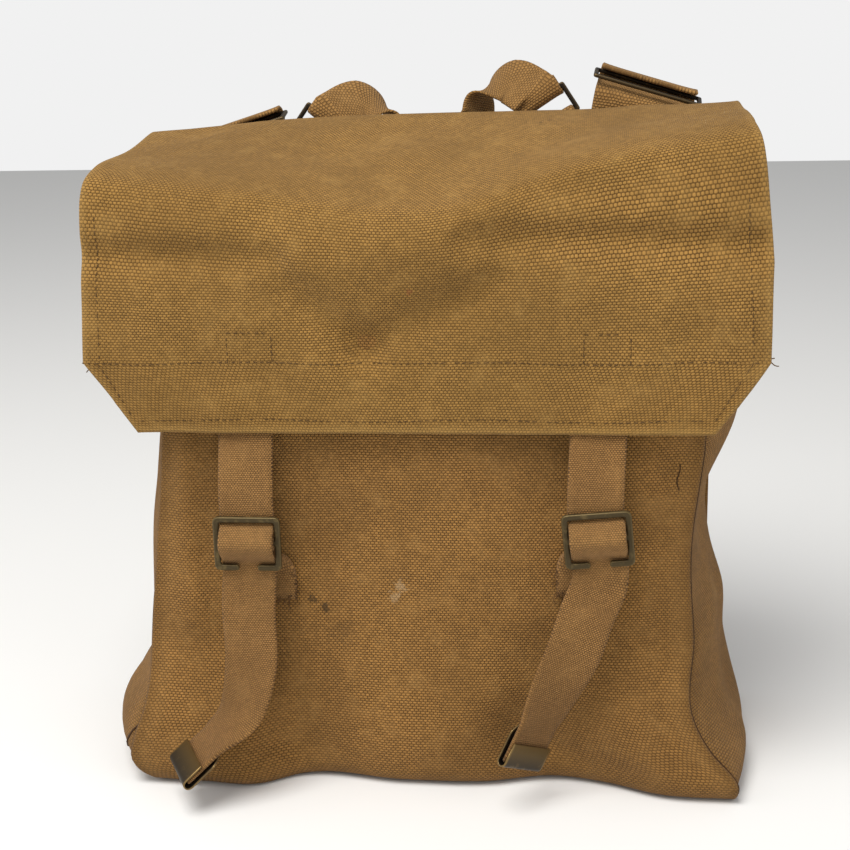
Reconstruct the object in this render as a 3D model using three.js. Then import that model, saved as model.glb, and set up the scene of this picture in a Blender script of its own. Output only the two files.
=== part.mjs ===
// A canvas haversack standing on its base with the flap closed.
// Millimetres, +Z up, the front towards -Y, the origin on the floor under the middle of the body.
import * as THREE from "three";

// Cloth walls and clearances
const canvasWall = 2;
const webWall = 1.9;
const metalWall = 0.8;
const seamGap = 0.3;
const gussetGap = 0.6;
const strapGap = 0.5;

// Body
const bodyDepth = 106;
const frontHeight = 272;
const backRise = 26;
const backHeight = frontHeight + backRise;
const gussetDrop = 12;
const gussetBackHeight = backHeight - gussetDrop;
const baseWidth = 298;
const mouthTaper = 44;
const mouthWidth = baseWidth - mouthTaper;
const backTaper = 22;
const backWidth = baseWidth - backTaper;
const baseRound = 10;
const baseHeel = 14;
const basePuff = 17;
const basePuffHeight = 80;
const backFlareHeight = 90;
const frontCrown = 4;
const backCrown = 3;
const gussetSwell = 25;
const swellPower = 0.7;
const bodyFold = 4;
const mouthBlend = 0.8;
const crownBlend = { fromShare: 0.3, fullShare: 0.6, toShare: 0.85 };

// Flap
const flapSpare = 19;
const flapWidth = baseWidth + flapSpare;
const flapRise = 20;
const flapHeight = backHeight + flapRise;
const flapOverlap = 22;
const flapDrop = 136;
const hemHeight = flapHeight - flapDrop;
const flapStandOff = 13;
const cornerCutAcross = 24;
const cornerCutUp = 33;
const hemShift = -0.6;
const hemLean = 1;
const foldDepth = 7;

// Narrow closing straps, their buckles, tabs and tips
const strapWidth = 25;
const strapSpread = 0.522 * flapWidth;
const strapInside = 47;
const sewnHeight = hemHeight + strapInside;
const buckleDrop = { left: 53, right: 49 };
const buckleShift = -1.25;
const buckleStandOff = 20;
const strapHang = 114;
const buckleOuterWidth = 32.5;
const buckleOuterHeight = 27;
const buckleBar = 2.6;
const buckleRail = 3;
const buckleCorner = 2;
const buckleThick = 2.2;
const buckleMouth = 9;
const tabLength = 33;
const tabSkew = 6.5;
const tabSeatTop = 0.6;
const tabWrap = { startAngle: -80, sweepAngle: 235 };
const tipLength = 14;
const tipWidth = 27;
const tipPoint = 6;
const tipPointPower = 1.5;
const tipBackShare = 0.7;

// Fittings behind the top edge
const loopWidth = 25;
const loopSpan = 35;
const backCentre = -4;
const smallBuckleSpread = 0.42 * backWidth;
const smallBuckleRise = { left: 10.5, right: 19 };
const smallBuckleLean = { left: 36, right: 33 };
const smallBuckleLength = 31;
const smallBuckleHeight = 17;
const smallBuckleBar = 2.4;
const chapeLength = 30;
const chapeSteps = 3;
const loopEase = 4.5;
const railEase = 6;
const wideWebWidth = 50;
const wideReach = { left: 0.385 * backWidth, right: 0.397 * backWidth };
const wideRise = { left: 11, right: 30 };
const wideFoot = 44;
const wideFootDrop = 26;
const wideFootIn = 5;
const wideBuckleLength = 57;
const wideBuckleHeight = 17;
const wideBuckleBar = 2.4;
const wideBuckleThick = 2;
const wideTurn = 17;
const wideTilt = 8;
const wideStandOff = 3;
const wideDip = 4;
const wideWrap = { startAngle: -75, sweepAngle: 165 };

const halfDepth = bodyDepth / 2;

// Seams of the front panel: how far each side has flared from mouthWidth to baseWidth, by share of the height
const panelSeams = [
  { height: 0.0, left: 0.45, right: 0.9 },
  { height: 0.045, left: 0.93, right: 0.85 },
  { height: 0.092, left: 0.88, right: 0.32 },
  { height: 0.132, left: 0.7, right: 0.0 },
  { height: 0.28, left: 0.5, right: -0.07 },
  { height: 0.42, left: 0.3, right: -0.17 },
  { height: 0.66, left: -0.05, right: 0.1 },
  { height: 1.0, left: -0.14, right: 0.14 },
];

// Swell of the side gussets beyond the seams, as shares of gussetSwell
const gussetSwells = [
  { height: 0.0, left: 0.05, right: 0.1 },
  { height: 0.03, left: 0.4, right: 0.35 },
  { height: 0.07, left: 0.82, right: 0.46 },
  { height: 0.11, left: 0.84, right: 0.46 },
  { height: 0.18, left: 0.46, right: 0.54 },
  { height: 0.26, left: 0.34, right: 0.52 },
  { height: 0.34, left: 0.42, right: 0.27 },
  { height: 0.42, left: 0.5, right: 0.08 },
  { height: 0.53, left: 0.38, right: 0.26 },
  { height: 0.66, left: 0.32, right: 0.72 },
  { height: 1.0, left: 0.3, right: 0.5 },
];

// Run of a buckle tab from the bar to its seam: back to the panel, down the tab and sideways, as shares
const tabRun = [
  { back: 0.5, down: 0.28, skew: 0.05 },
  { back: 0.86, down: 0.46, skew: 0.6 },
  { back: 1, down: 0.62, skew: 1 },
  { back: 1, down: 1, skew: 1 },
];

// How far the foot of the front stands forward across the width, as shares of basePuff
const footPuffs = [
  { across: -1.0, push: 1.2 },
  { across: -0.82, push: 1.3 },
  { across: -0.62, push: 1.35 },
  { across: -0.48, push: 0.66 },
  { across: -0.1, push: 0.85 },
  { across: 0.18, push: 0.82 },
  { across: 0.42, push: 0.36 },
  { across: 0.58, push: 0.66 },
  { across: 0.76, push: 1.3 },
  { across: 1.0, push: 1.45 },
];

// Soft folds of the front, from one end to the other: across in half widths, up in shares of the height
const bodyFolds = [
  { fromAcross: -0.93, fromUp: 0.66, toAcross: -0.86, toUp: 0.3, reach: 0.03, push: 0.7 },
  { fromAcross: 0.93, fromUp: 0.62, toAcross: 0.9, toUp: 0.2, reach: 0.03, push: -0.4 },
  { fromAcross: 0.9, fromUp: 0.13, toAcross: 0.86, toUp: 0.03, reach: 0.03, push: -0.8 },
  { fromAcross: 0.36, fromUp: 0.1, toAcross: 0.44, toUp: 0.0, reach: 0.05, push: -0.7 },
  { fromAcross: -0.54, fromUp: 0.12, toAcross: -0.46, toUp: 0.0, reach: 0.05, push: -0.6 },
];

// Sections of the flap above its side corners: forward in half depths, half widths of the two sides as shares
// of half flapWidth, and heights at five places across as shares of flapHeight
const flapSections = [
  { forward: -1.0, left: 0.89, right: 0.89, heights: [0.93, 0.93, 0.93, 0.93, 0.93] },
  { forward: -0.99, left: 0.92, right: 0.92, heights: [0.953, 0.968, 0.974, 0.979, 0.986] },
  { forward: -0.86, left: 0.938, right: 0.936, heights: [0.978, 0.996, 1.001, 1.004, 1.013] },
  { forward: 0.0, left: 0.95, right: 0.938, heights: [0.962, 0.966, 0.962, 0.988, 1.013] },
  { forward: 0.86, left: 0.962, right: 0.94, heights: [0.956, 0.932, 0.911, 0.967, 1.01] },
  { forward: 1.13, left: 0.98, right: 0.966, heights: [0.918, 0.893, 0.877, 0.925, 0.962] },
  { forward: 1.2, left: 0.992, right: 0.995, heights: [0.8, 0.79, 0.79, 0.8, 0.82] },
];

// Folds of the flap's front: across in half widths, up from the hem in shares of the drop
const flapFolds = [
  { fromAcross: -0.37, fromUp: 0.5, toAcross: -0.165, toUp: 0.31, reach: 0.055, push: -0.45 },
  { fromAcross: -0.165, fromUp: 0.31, toAcross: 0.223, toUp: 0.55, reach: 0.055, push: -0.45 },
  { fromAcross: -0.3, fromUp: 0.6, toAcross: 0.12, toUp: 0.66, reach: 0.16, push: 0.85 },
  { fromAcross: 0.6, fromUp: 1.0, toAcross: 0.07, toUp: 0.75, reach: 0.09, push: 0.5 },
  { fromAcross: 0.15, fromUp: 0.66, toAcross: 0.96, toUp: 0.64, reach: 0.075, push: -0.6 },
  { fromAcross: -0.97, fromUp: 0.61, toAcross: -0.42, toUp: 0.6, reach: 0.065, push: -0.45 },
];

// Free ends of the closing straps below the buckle: down in shares of strapHang, sideways and outwards in
// shares of strapWidth, and the turn about the strap's own line in degrees
const strapHangs = {
  left: [
    { down: 0.18, side: -0.06, out: 0.04, turn: 0 },
    { down: 0.42, side: -0.04, out: 0.2, turn: -6 },
    { down: 0.62, side: -0.26, out: 0.42, turn: -24 },
    { down: 0.73, side: -0.78, out: 0.66, turn: -56 },
  ],
  right: [
    { down: 0.08, side: 0.03, out: 0.02, turn: 0 },
    { down: 0.2, side: -0.18, out: 0.05, turn: 0 },
    { down: 0.38, side: -0.46, out: 0.14, turn: 6 },
    { down: 0.54, side: -0.82, out: 0.28, turn: 24 },
    { down: 0.68, side: -1.12, out: 0.42, turn: 44 },
  ],
};
const buckleRoll = { left: 0, right: 5 };

// Run of a top loop from its foot to the crest: inwards and up from the middle of the small buckle and back
// from the foot in shares of loopSpan, with the crossways line of the web
const loopRun = [
  { inwards: 1, back: 0, up: -1.4, crossOut: 1, crossBack: 0, crossUp: 0 },
  { inwards: 1, back: 0, up: -0.72, crossOut: 1, crossBack: 0, crossUp: 0 },
  { inwards: 1.01, back: 0.34, up: -0.06, crossOut: 0.55, crossBack: 0.83, crossUp: 0 },
  { inwards: 0.93, back: 0.38, up: 0.28, crossOut: 0.48, crossBack: 0.78, crossUp: 0.3 },
  { inwards: 0.55, back: 0.27, up: 0.43, crossOut: 0.5, crossBack: 0.42, crossUp: 0.76 },
];

// A value read from a table of rows by one of its columns, with straight runs between the rows
function readTable(rows, key, column, at) {
  let next = rows.findIndex((row) => row[key] >= at);
  if (next < 0) next = rows.length - 1;
  const high = rows[next];
  const low = rows[Math.max(0, next - 1)];
  const run = high[key] - low[key];
  const share = run > 0 ? THREE.MathUtils.clamp((at - low[key]) / run, 0, 1) : 0;
  return low[column] + (high[column] - low[column]) * share;
}

function smooth(from, to, at) {
  return THREE.MathUtils.smoothstep(at, from, to);
}

// Push of a table of folds at a place, as a share of the fold depth; up and across are in millimetres
function foldPush(folds, across, up, halfWidth, height) {
  let push = 0;
  const place = new THREE.Vector3(across, up, 0);
  for (const fold of folds) {
    const from = new THREE.Vector3(fold.fromAcross * halfWidth, fold.fromUp * height, 0);
    const to = new THREE.Vector3(fold.toAcross * halfWidth, fold.toUp * height, 0);
    const near = new THREE.Line3(from, to).closestPointToPoint(place, true, new THREE.Vector3());
    const off = near.distanceTo(place) / (fold.reach * height);
    push += fold.push * Math.exp(-off * off);
  }
  return push;
}

// Normals of a grid of points, rows by columns, that look to the outer side
function gridNormals(grid) {
  const lastRow = grid.length - 1;
  return grid.map((row, j) =>
    row.map((point, i) => {
      const along = grid[Math.min(j + 1, lastRow)][i].clone().sub(grid[Math.max(j - 1, 0)][i]);
      const across = row[Math.min(i + 1, row.length - 1)].clone().sub(row[Math.max(i - 1, 0)]);
      return across.cross(along).normalize();
    }),
  );
}

// One closed sheet from a grid of points on its outer face, a wall thick along the normals
function sheetFromGrid(grid, wall, normals = gridNormals(grid)) {
  const rows = grid.length;
  const columns = grid[0].length;
  const inner = grid.map((row, j) =>
    row.map((point, i) => point.clone().addScaledVector(normals[j][i], -wall)),
  );
  const positions = [];
  for (const row of [...grid, ...inner]) {
    for (const point of row) positions.push(point.x, point.y, point.z);
  }
  const back = rows * columns;
  const index = [];
  function quad(a, b, c, d) {
    index.push(a, b, c, a, c, d);
  }
  for (let j = 0; j < rows - 1; j += 1) {
    for (let i = 0; i < columns - 1; i += 1) {
      const a = j * columns + i;
      quad(a, a + 1, a + columns + 1, a + columns);
      quad(back + a, back + a + columns, back + a + columns + 1, back + a + 1);
    }
    const left = j * columns;
    const right = left + columns - 1;
    quad(left, left + columns, back + left + columns, back + left);
    quad(right + columns, right, back + right, back + right + columns);
  }
  for (let i = 0; i < columns - 1; i += 1) {
    const far = (rows - 1) * columns + i;
    quad(i + 1, i, back + i, back + i + 1);
    quad(far, far + 1, back + far + 1, back + far);
  }
  const geometry = new THREE.BufferGeometry();
  geometry.setAttribute("position", new THREE.Float32BufferAttribute(positions, 3));
  geometry.setIndex(index);
  geometry.computeVertexNormals();
  return geometry;
}

// The face, the crossways line and the run of a band at one of its stations
function bandFrame(stations, j) {
  const before = stations[Math.max(j - 1, 0)].point;
  const after = stations[Math.min(j + 1, stations.length - 1)].point;
  const along = after.clone().sub(before).normalize();
  const across = stations[j].across.clone();
  across.addScaledVector(along, -across.dot(along)).normalize();
  return { point: stations[j].point, along, across, face: across.clone().cross(along) };
}

// A flat band of webbing along stations of { point, across }
function bandGeometry(stations, width, wall) {
  const columns = 2;
  const frames = stations.map((station, j) => bandFrame(stations, j));
  const grid = frames.map(({ point, across, face }) => {
    const row = [];
    for (let i = 0; i <= columns; i += 1) {
      const side = (i / columns - 0.5) * width;
      row.push(point.clone().addScaledVector(across, side).addScaledVector(face, wall / 2));
    }
    return row;
  });
  const normals = frames.map(({ face }) => Array(columns + 1).fill(face));
  return sheetFromGrid(grid, wall, normals);
}

// Stations on a smooth curve through keys of { point, across }
function smoothStations(keys, steps) {
  const curve = new THREE.CatmullRomCurve3(keys.map((key) => key.point), false, "centripetal");
  const spans = keys.length - 1;
  const stations = [];
  for (let k = 0; k <= spans * steps; k += 1) {
    const at = k / steps;
    const low = Math.min(Math.floor(at), spans - 1);
    const across = keys[low].across.clone().lerp(keys[low + 1].across, at - low).normalize();
    stations.push({ point: curve.getPoint(at / spans), across });
  }
  return stations;
}

const rightwards = new THREE.Vector3(1, 0, 0);
const backwards = new THREE.Vector3(0, 1, 0);

// Main panel: one strip that runs down the front, under the base and up the back
const frontRows = 12;
const roundRows = 4;
const baseRows = 4;
const panelColumns = 20;

function seamHalfWidth(side, height) {
  const flare = readTable(panelSeams, "height", side, height / frontHeight);
  return (mouthWidth + (baseWidth - mouthWidth) * flare) / 2;
}

function backHalfWidth(height) {
  const flare = 1 - smooth(0, backFlareHeight, height);
  return (backWidth + (baseWidth - backWidth) * flare) / 2;
}

// How far the front stands forward of half the depth
function frontPush(across, height) {
  const foot = basePuff * readTable(footPuffs, "across", "push", across);
  const footShare = 1 - smooth(baseRound, basePuffHeight, height);
  const crown = frontCrown * (1 - across * across) * smooth(0, basePuffHeight, height);
  const fold = bodyFold * foldPush(bodyFolds, across * mouthWidth / 2, height, mouthWidth / 2, frontHeight);
  const mouthShare = 1 - smooth(mouthBlend * frontHeight, frontHeight, height);
  return foot * footShare + (crown + fold * smooth(baseRound, 2 * baseRound, height)) * mouthShare;
}

function backPush(across, height) {
  const rise = smooth(baseHeel, crownBlend.fromShare * backHeight, height);
  const fall = smooth(crownBlend.fullShare * backHeight, crownBlend.toShare * backHeight, height);
  return backCrown * (1 - across * across) * rise * (1 - fall);
}

function panelPoint(across, part, share) {
  const side = across < 0 ? "left" : "right";
  const footY = -halfDepth - frontPush(across, baseRound);
  const angle = share * Math.PI / 2;
  if (part === "front") {
    const height = frontHeight + (baseRound - frontHeight) * share;
    const y = -halfDepth - frontPush(across, height);
    return new THREE.Vector3(across * seamHalfWidth(side, height), y, height);
  }
  if (part === "frontRound") {
    const height = baseRound * (1 - Math.sin(angle));
    const y = footY + baseRound * (1 - Math.cos(angle));
    return new THREE.Vector3(across * seamHalfWidth(side, height), y, height);
  }
  if (part === "base") {
    const frontX = seamHalfWidth(side, 0);
    const halfWidth = frontX + (backHalfWidth(0) - frontX) * share;
    const frontY = footY + baseRound;
    return new THREE.Vector3(across * halfWidth, frontY + (halfDepth - baseHeel - frontY) * share, 0);
  }
  if (part === "backRound") {
    const height = baseHeel * (1 - Math.cos(angle));
    const y = halfDepth - baseHeel * (1 - Math.sin(angle));
    return new THREE.Vector3(across * backHalfWidth(height), y, height);
  }
  const height = baseHeel + (backHeight - baseHeel) * share;
  return new THREE.Vector3(across * backHalfWidth(height), halfDepth + backPush(across, height), height);
}

// The gussets end at a row of the back panel of their own height, and one more row ends the panel
function backShare(row) {
  const gussetShare = (gussetBackHeight - baseHeel) / (backHeight - baseHeel);
  return row <= frontRows ? gussetShare * row / frontRows : 1;
}

const panelStations = [];
for (let k = 0; k < frontRows; k += 1) panelStations.push(["front", k / frontRows]);
for (let k = 0; k < roundRows; k += 1) panelStations.push(["frontRound", k / roundRows]);
for (let k = 0; k < baseRows; k += 1) panelStations.push(["base", k / baseRows]);
for (let k = 0; k < roundRows; k += 1) panelStations.push(["backRound", k / roundRows]);
for (let k = 0; k <= frontRows + 1; k += 1) panelStations.push(["back", backShare(k)]);

// Each row runs from right to left, so the faces look outwards
function rowOfPoints(columns, pointAt) {
  const row = [];
  for (let i = 0; i <= columns; i += 1) row.push(pointAt(1 - (2 * i) / columns));
  return row;
}

const panelGrid = panelStations.map(([part, share]) =>
  rowOfPoints(panelColumns, (across) => panelPoint(across, part, share)),
);
const panelNormals = gridNormals(panelGrid);

// Side gussets: they butt on the inner face of the main panel along its whole edge
const gussetColumns = 6;
const gussetRows = frontRows + roundRows;

function gussetGeometry(side) {
  const column = side === "left" ? panelColumns : 0;
  const outwards = side === "left" ? -1 : 1;
  const lastBack = panelGrid.length - 2;
  function seat(row) {
    return panelGrid[row][column].clone().addScaledVector(panelNormals[row][column], -canvasWall - gussetGap);
  }
  const grid = [];
  for (let row = 0; row <= gussetRows; row += 1) {
    const front = seat(row);
    const back = seat(lastBack - row);
    const swellShare = readTable(gussetSwells, "height", side, front.z / frontHeight);
    const swell = row < gussetRows ? outwards * gussetSwell * swellShare : 0;
    const line = [];
    for (let i = 0; i <= gussetColumns; i += 1) {
      const point = front.clone().lerp(back, i / gussetColumns);
      point.x += swell * Math.pow(Math.sin(Math.PI * i / gussetColumns), swellPower);
      line.push(point);
    }
    if (side === "right") line.reverse();
    grid.push(line);
  }
  const normals = gridNormals(grid);
  // Along the seams the gusset's wall stays parallel to the panel's inner face
  for (let row = 0; row <= gussetRows; row += 1) {
    const frontEnd = side === "left" ? 0 : gussetColumns;
    const seams = [
      [frontEnd, panelNormals[row][column]],
      [gussetColumns - frontEnd, panelNormals[lastBack - row][column]],
    ];
    for (const [i, seam] of seams) {
      const normal = normals[row][i];
      normal.addScaledVector(seam, -normal.dot(seam)).normalize();
    }
  }
  for (const normal of normals[gussetRows]) normal.setZ(0).normalize();
  return sheetFromGrid(grid, canvasWall, normals);
}

// Flap: sewn to the outside of the back, over the top and down the front
const flapColumns = 28;
const flapSteps = [2, 2, 3, 3, 3, 4, 4, 4, 6];
const rearY = halfDepth + seamGap + canvasWall;
const frontSpans = 3;
const halvings = 24;

function acrossHeight(heights, across) {
  const points = heights.map((share, k) => new THREE.Vector3(k, share * flapHeight, 0));
  const curve = new THREE.CatmullRomCurve3(points, false, "catmullrom", 0.5);
  return curve.getPoint((across + 1) / 2).y;
}

// The flap's keys at a place across, from the rear seam to the hem
function flapKeys(across) {
  const side = across < 0 ? "left" : "right";
  const half = across * flapWidth / 2;
  const keys = [new THREE.Vector3(flapSections[0][side] * half, rearY, backHeight - flapOverlap)];
  for (const section of flapSections) {
    const behind = section.forward < 0 ? seamGap + canvasWall : 0;
    const y = Math.min(rearY, -section.forward * halfDepth + behind);
    keys.push(new THREE.Vector3(section[side] * half, y, acrossHeight(section.heights, across)));
  }
  const hemY = -halfDepth - flapStandOff;
  keys.push(new THREE.Vector3(half + hemShift, hemY + hemLean, hemHeight + cornerCutUp));
  keys.push(new THREE.Vector3(half + hemShift - across * cornerCutAcross, hemY, hemHeight));
  return keys;
}

// A point of the flap: smooth along its section, with straight runs between the keys in the width
function flapPoint(keys, at) {
  const spans = keys.length - 1;
  const point = new THREE.CatmullRomCurve3(keys, false, "catmullrom", 0.5).getPoint(at / spans);
  const low = Math.min(Math.floor(at), spans - 1);
  point.x = THREE.MathUtils.lerp(keys[low].x, keys[low + 1].x, at - low);
  const front = smooth(0, halfDepth, -point.y);
  const push = foldPush(flapFolds, point.x, point.z - hemHeight, flapWidth / 2, flapHeight - hemHeight);
  point.y -= front * foldDepth * push;
  return point;
}

const flapStations = [];
flapSteps.forEach((steps, span) => {
  for (let k = 0; k < steps; k += 1) flapStations.push(span + k / steps);
});
flapStations.push(flapSteps.length);

const flapColumnPoints = rowOfPoints(flapColumns, (across) => {
  const keys = flapKeys(across);
  return flapStations.map((at) => flapPoint(keys, at));
});
const flapGrid = flapStations.map((at, j) => flapColumnPoints.map((column) => column[j]));

// The flap's inner face, as the greatest y over a strap's width at a height of its front
function flapInnerY(middle, height) {
  let deepest = -Infinity;
  for (const side of [-0.5, 0, 0.5]) {
    const across = (middle + side * strapWidth) / (flapWidth / 2);
    const keys = flapKeys(across);
    let high = flapSteps.length - frontSpans;
    let low = flapSteps.length;
    for (let k = 0; k < halvings; k += 1) {
      const at = (high + low) / 2;
      if (flapPoint(keys, at).z > height) high = at;
      else low = at;
    }
    deepest = Math.max(deepest, flapPoint(keys, high).y);
  }
  return deepest + canvasWall;
}

// Narrow straps: each is sewn inside the flap, threads its buckle and hangs free
const sideSign = { left: -1, right: 1 };
const buckleY = -halfDepth - buckleStandOff;
const barUp = 0.5;
const threadEase = 0.2;
const railStep = 0.7;
const hangEase = 1.5;
const humpTurn = THREE.MathUtils.degToRad(50);
const strapDrape = 0.25;
const railBack = buckleThick / 2 + strapGap + webWall / 2;
const tabRadius = Math.hypot(buckleBar, buckleThick) / 2 + seamGap + webWall / 2;
const humpRadius = tabRadius + webWall + strapGap;

function buckleMiddle(side) {
  const x = sideSign[side] * strapSpread / 2 + buckleShift;
  return new THREE.Vector3(x, buckleY, hemHeight - buckleDrop[side]);
}

// A place by the buckle, in its own rolled frame: sideways, outwards from the bag and up
function byBuckle(side, sideways, outwards, up) {
  const roll = THREE.MathUtils.degToRad(buckleRoll[side]);
  const place = new THREE.Vector3(sideways, -outwards, up).applyAxisAngle(backwards, -roll);
  return place.add(buckleMiddle(side));
}

function strapStations(side) {
  const roll = THREE.MathUtils.degToRad(buckleRoll[side]);
  const level = rightwards.clone().applyAxisAngle(backwards, -roll);
  const middle = buckleMiddle(side);
  const top = byBuckle(side, 0, 0, buckleOuterHeight / 2);
  const keys = [];
  for (const share of [0, 0.5, 1]) {
    const height = sewnHeight + (hemHeight + canvasWall - sewnHeight) * share;
    const y = flapInnerY(middle.x, height) + strapGap + seamGap + webWall / 2;
    keys.push({ point: new THREE.Vector3(middle.x, y, height), across: rightwards });
  }
  const aboveRail = new THREE.Vector3(0, railBack, strapDrape * (hemHeight - top.z));
  keys.push({ point: top.clone().add(aboveRail), across: level });
  const railUp = buckleOuterHeight / 2 - buckleRail;
  const humpUp = humpRadius * Math.sin(humpTurn);
  const humpOut = humpRadius * Math.cos(humpTurn);
  const threading = [
    [railUp + buckleRail / 2, -railBack - threadEase],
    [railUp - railStep, -railBack + threadEase],
    [barUp + humpUp, humpOut],
    [barUp, humpRadius],
    [barUp - humpUp, humpOut],
    [-railUp + railStep, -railBack + threadEase],
    [-railUp - buckleRail / 2 - hangEase, -railBack - threadEase],
  ];
  for (const [up, outwards] of threading) {
    keys.push({ point: byBuckle(side, 0, outwards, up), across: level });
  }
  for (const row of strapHangs[side]) {
    const down = buckleOuterHeight / 2 + row.down * strapHang;
    const point = new THREE.Vector3(row.side, -row.out, 0).multiplyScalar(strapWidth);
    point.add(new THREE.Vector3(0, railBack, -down)).add(middle);
    const turn = THREE.MathUtils.degToRad(row.turn);
    keys.push({ point, across: new THREE.Vector3(Math.cos(turn), Math.sin(turn), 0) });
  }
  const stations = smoothStations(keys, 2);
  // The end inside the tip is straight
  const end = bandFrame(stations, stations.length - 1);
  const endSteps = 2;
  for (let k = 1; k <= endSteps; k += 1) {
    const point = end.point.clone().addScaledVector(end.along, (tipLength + tipPoint) * k / endSteps);
    stations.push({ point, across: end.across });
  }
  return stations;
}

// Open-ended buckle: full top rail and side rails, a middle bar, and two short prongs with the mouth between
function buckleGeometry() {
  const w = buckleOuterWidth / 2;
  const h = buckleOuterHeight / 2;
  const innerW = w - buckleRail;
  const innerH = h - buckleRail;
  const barTop = barUp + buckleBar / 2;
  const barLow = barUp - buckleBar / 2;
  const m = buckleMouth / 2;
  const frame = new THREE.Shape();
  frame.moveTo(m, -h);
  frame.lineTo(w - buckleCorner, -h);
  frame.quadraticCurveTo(w, -h, w, -h + buckleCorner);
  frame.lineTo(w, h - buckleCorner);
  frame.quadraticCurveTo(w, h, w - buckleCorner, h);
  frame.lineTo(-w + buckleCorner, h);
  frame.quadraticCurveTo(-w, h, -w, h - buckleCorner);
  frame.lineTo(-w, -h + buckleCorner);
  frame.quadraticCurveTo(-w, -h, -w + buckleCorner, -h);
  frame.lineTo(-m, -h);
  frame.lineTo(-m, -innerH);
  frame.lineTo(-innerW, -innerH);
  frame.lineTo(-innerW, barLow);
  frame.lineTo(innerW, barLow);
  frame.lineTo(innerW, -innerH);
  frame.lineTo(m, -innerH);
  frame.holes.push(rectanglePath(-innerW, barTop, innerW, innerH));
  return plateGeometry(frame, buckleThick);
}

function rectanglePath(left, low, right, high) {
  const path = new THREE.Path();
  path.moveTo(left, low);
  path.lineTo(left, high);
  path.lineTo(right, high);
  path.lineTo(right, low);
  return path;
}

// A flat plate in the plane of X and Z, with its thickness centred on Y
function plateGeometry(shape, thick) {
  const geometry = new THREE.ExtrudeGeometry(shape, { depth: thick, bevelEnabled: false, curveSegments: 3 });
  return geometry.translate(0, 0, -thick / 2).rotateX(Math.PI / 2);
}

// A plain frame with one slot
function frameGeometry(length, height, bar, thick) {
  const frame = new THREE.Shape();
  const w = length / 2;
  const h = height / 2;
  frame.moveTo(-w, -h);
  frame.lineTo(w, -h);
  frame.lineTo(w, h);
  frame.lineTo(-w, h);
  frame.holes.push(rectanglePath(-w + bar, -h + bar, w - bar, h - bar));
  return plateGeometry(frame, thick);
}

// The front panel's outer face, as the least y over a tab's width
function panelFaceY(middle, height) {
  let foremost = Infinity;
  for (const side of [-0.5, -0.25, 0, 0.25, 0.5]) {
    const x = middle + side * strapWidth;
    const across = x / seamHalfWidth(x < 0 ? "left" : "right", height);
    foremost = Math.min(foremost, -halfDepth - frontPush(across, height));
  }
  return foremost;
}

// Buckle tab: one web that comes up from the panel, goes round the bar and returns to the panel
function tabGeometry(side) {
  const bar = byBuckle(side, 0, 0, barUp);
  const skew = -sideSign[side] * tabSkew;
  const roll = THREE.MathUtils.degToRad(buckleRoll[side]);
  const level = rightwards.clone().applyAxisAngle(backwards, -roll);
  const half = webWall / 2 + seamGap / 2;
  const low = bar.z - tabLength;
  const seatTop = bar.z - tabSeatTop * tabLength;
  const faceY = Math.min(panelFaceY(bar.x + skew, low), panelFaceY(bar.x + skew, seatTop));
  const farY = faceY - seamGap - webWall - seamGap / 2;
  const places = tabRun.map((row) => ({
    y: bar.y + row.back * (farY - bar.y),
    z: bar.z - row.down * tabLength,
    skew: row.skew,
  }));
  const stations = [];
  function layer(offset) {
    return places.map((place, k) => {
      const next = places[Math.min(k + 1, places.length - 1)];
      const last = k > 0 ? places[k - 1] : bar;
      const run = new THREE.Vector2(next.y - last.y, next.z - last.z).normalize();
      const x = bar.x + skew * place.skew;
      const point = new THREE.Vector3(x, place.y + offset * run.y, place.z - offset * run.x);
      return { point, across: level.clone().lerp(rightwards, place.skew) };
    });
  }
  const front = layer(half).reverse();
  const back = layer(-half);
  const turns = 8;
  stations.push(...front);
  for (let k = 0; k <= turns; k += 1) {
    const angle = THREE.MathUtils.degToRad(tabWrap.startAngle + (tabWrap.sweepAngle * k) / turns);
    const point = bar.clone();
    point.y -= tabRadius * Math.cos(angle);
    point.z += tabRadius * Math.sin(angle);
    stations.push({ point, across: level });
  }
  stations.push(...back);
  return bandGeometry(stations, strapWidth, webWall);
}

// Folded tip: a thin plate with two points on its front, over the strap's end and up its back
function tipGeometry(stations) {
  const last = stations.length - 1;
  const end = bandFrame(stations, last);
  const radius = webWall / 2 + seamGap + metalWall;
  const columns = 8;
  const foldSteps = 4;
  const grid = [];
  function line(pointAt) {
    const row = [];
    for (let i = 0; i <= columns; i += 1) {
      const share = (2 * i) / columns - 1;
      const [down, outwards] = pointAt(share);
      const point = end.point.clone().addScaledVector(end.along, down).addScaledVector(end.face, -outwards);
      row.push(point.addScaledVector(end.across, -share * tipWidth / 2));
    }
    grid.push(row);
  }
  function points(share) {
    return tipPoint * (1 - Math.pow(Math.abs(2 * Math.abs(share) - 1), tipPointPower));
  }
  line((share) => [-tipLength - points(share), radius]);
  line((share) => [-tipLength / 2 - points(share) / 2, radius]);
  for (let k = 0; k <= foldSteps; k += 1) {
    const angle = Math.PI * (0.5 - k / foldSteps);
    line(() => [seamGap + radius * Math.cos(angle), radius * Math.sin(angle)]);
  }
  line(() => [-tipLength * tipBackShare, -radius]);
  return sheetFromGrid(grid, metalWall);
}

// Rear fittings: each stands on the flap's rear face
const rearFace = Math.max(...flapGrid.flat().map((point) => point.y));
const footY = rearFace + seamGap + webWall / 2;
const smallRailOffset = (smallBuckleHeight - smallBuckleBar) / 2;
const smallWrapRadius = smallBuckleBar / Math.SQRT2 + seamGap + webWall / 2;

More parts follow.
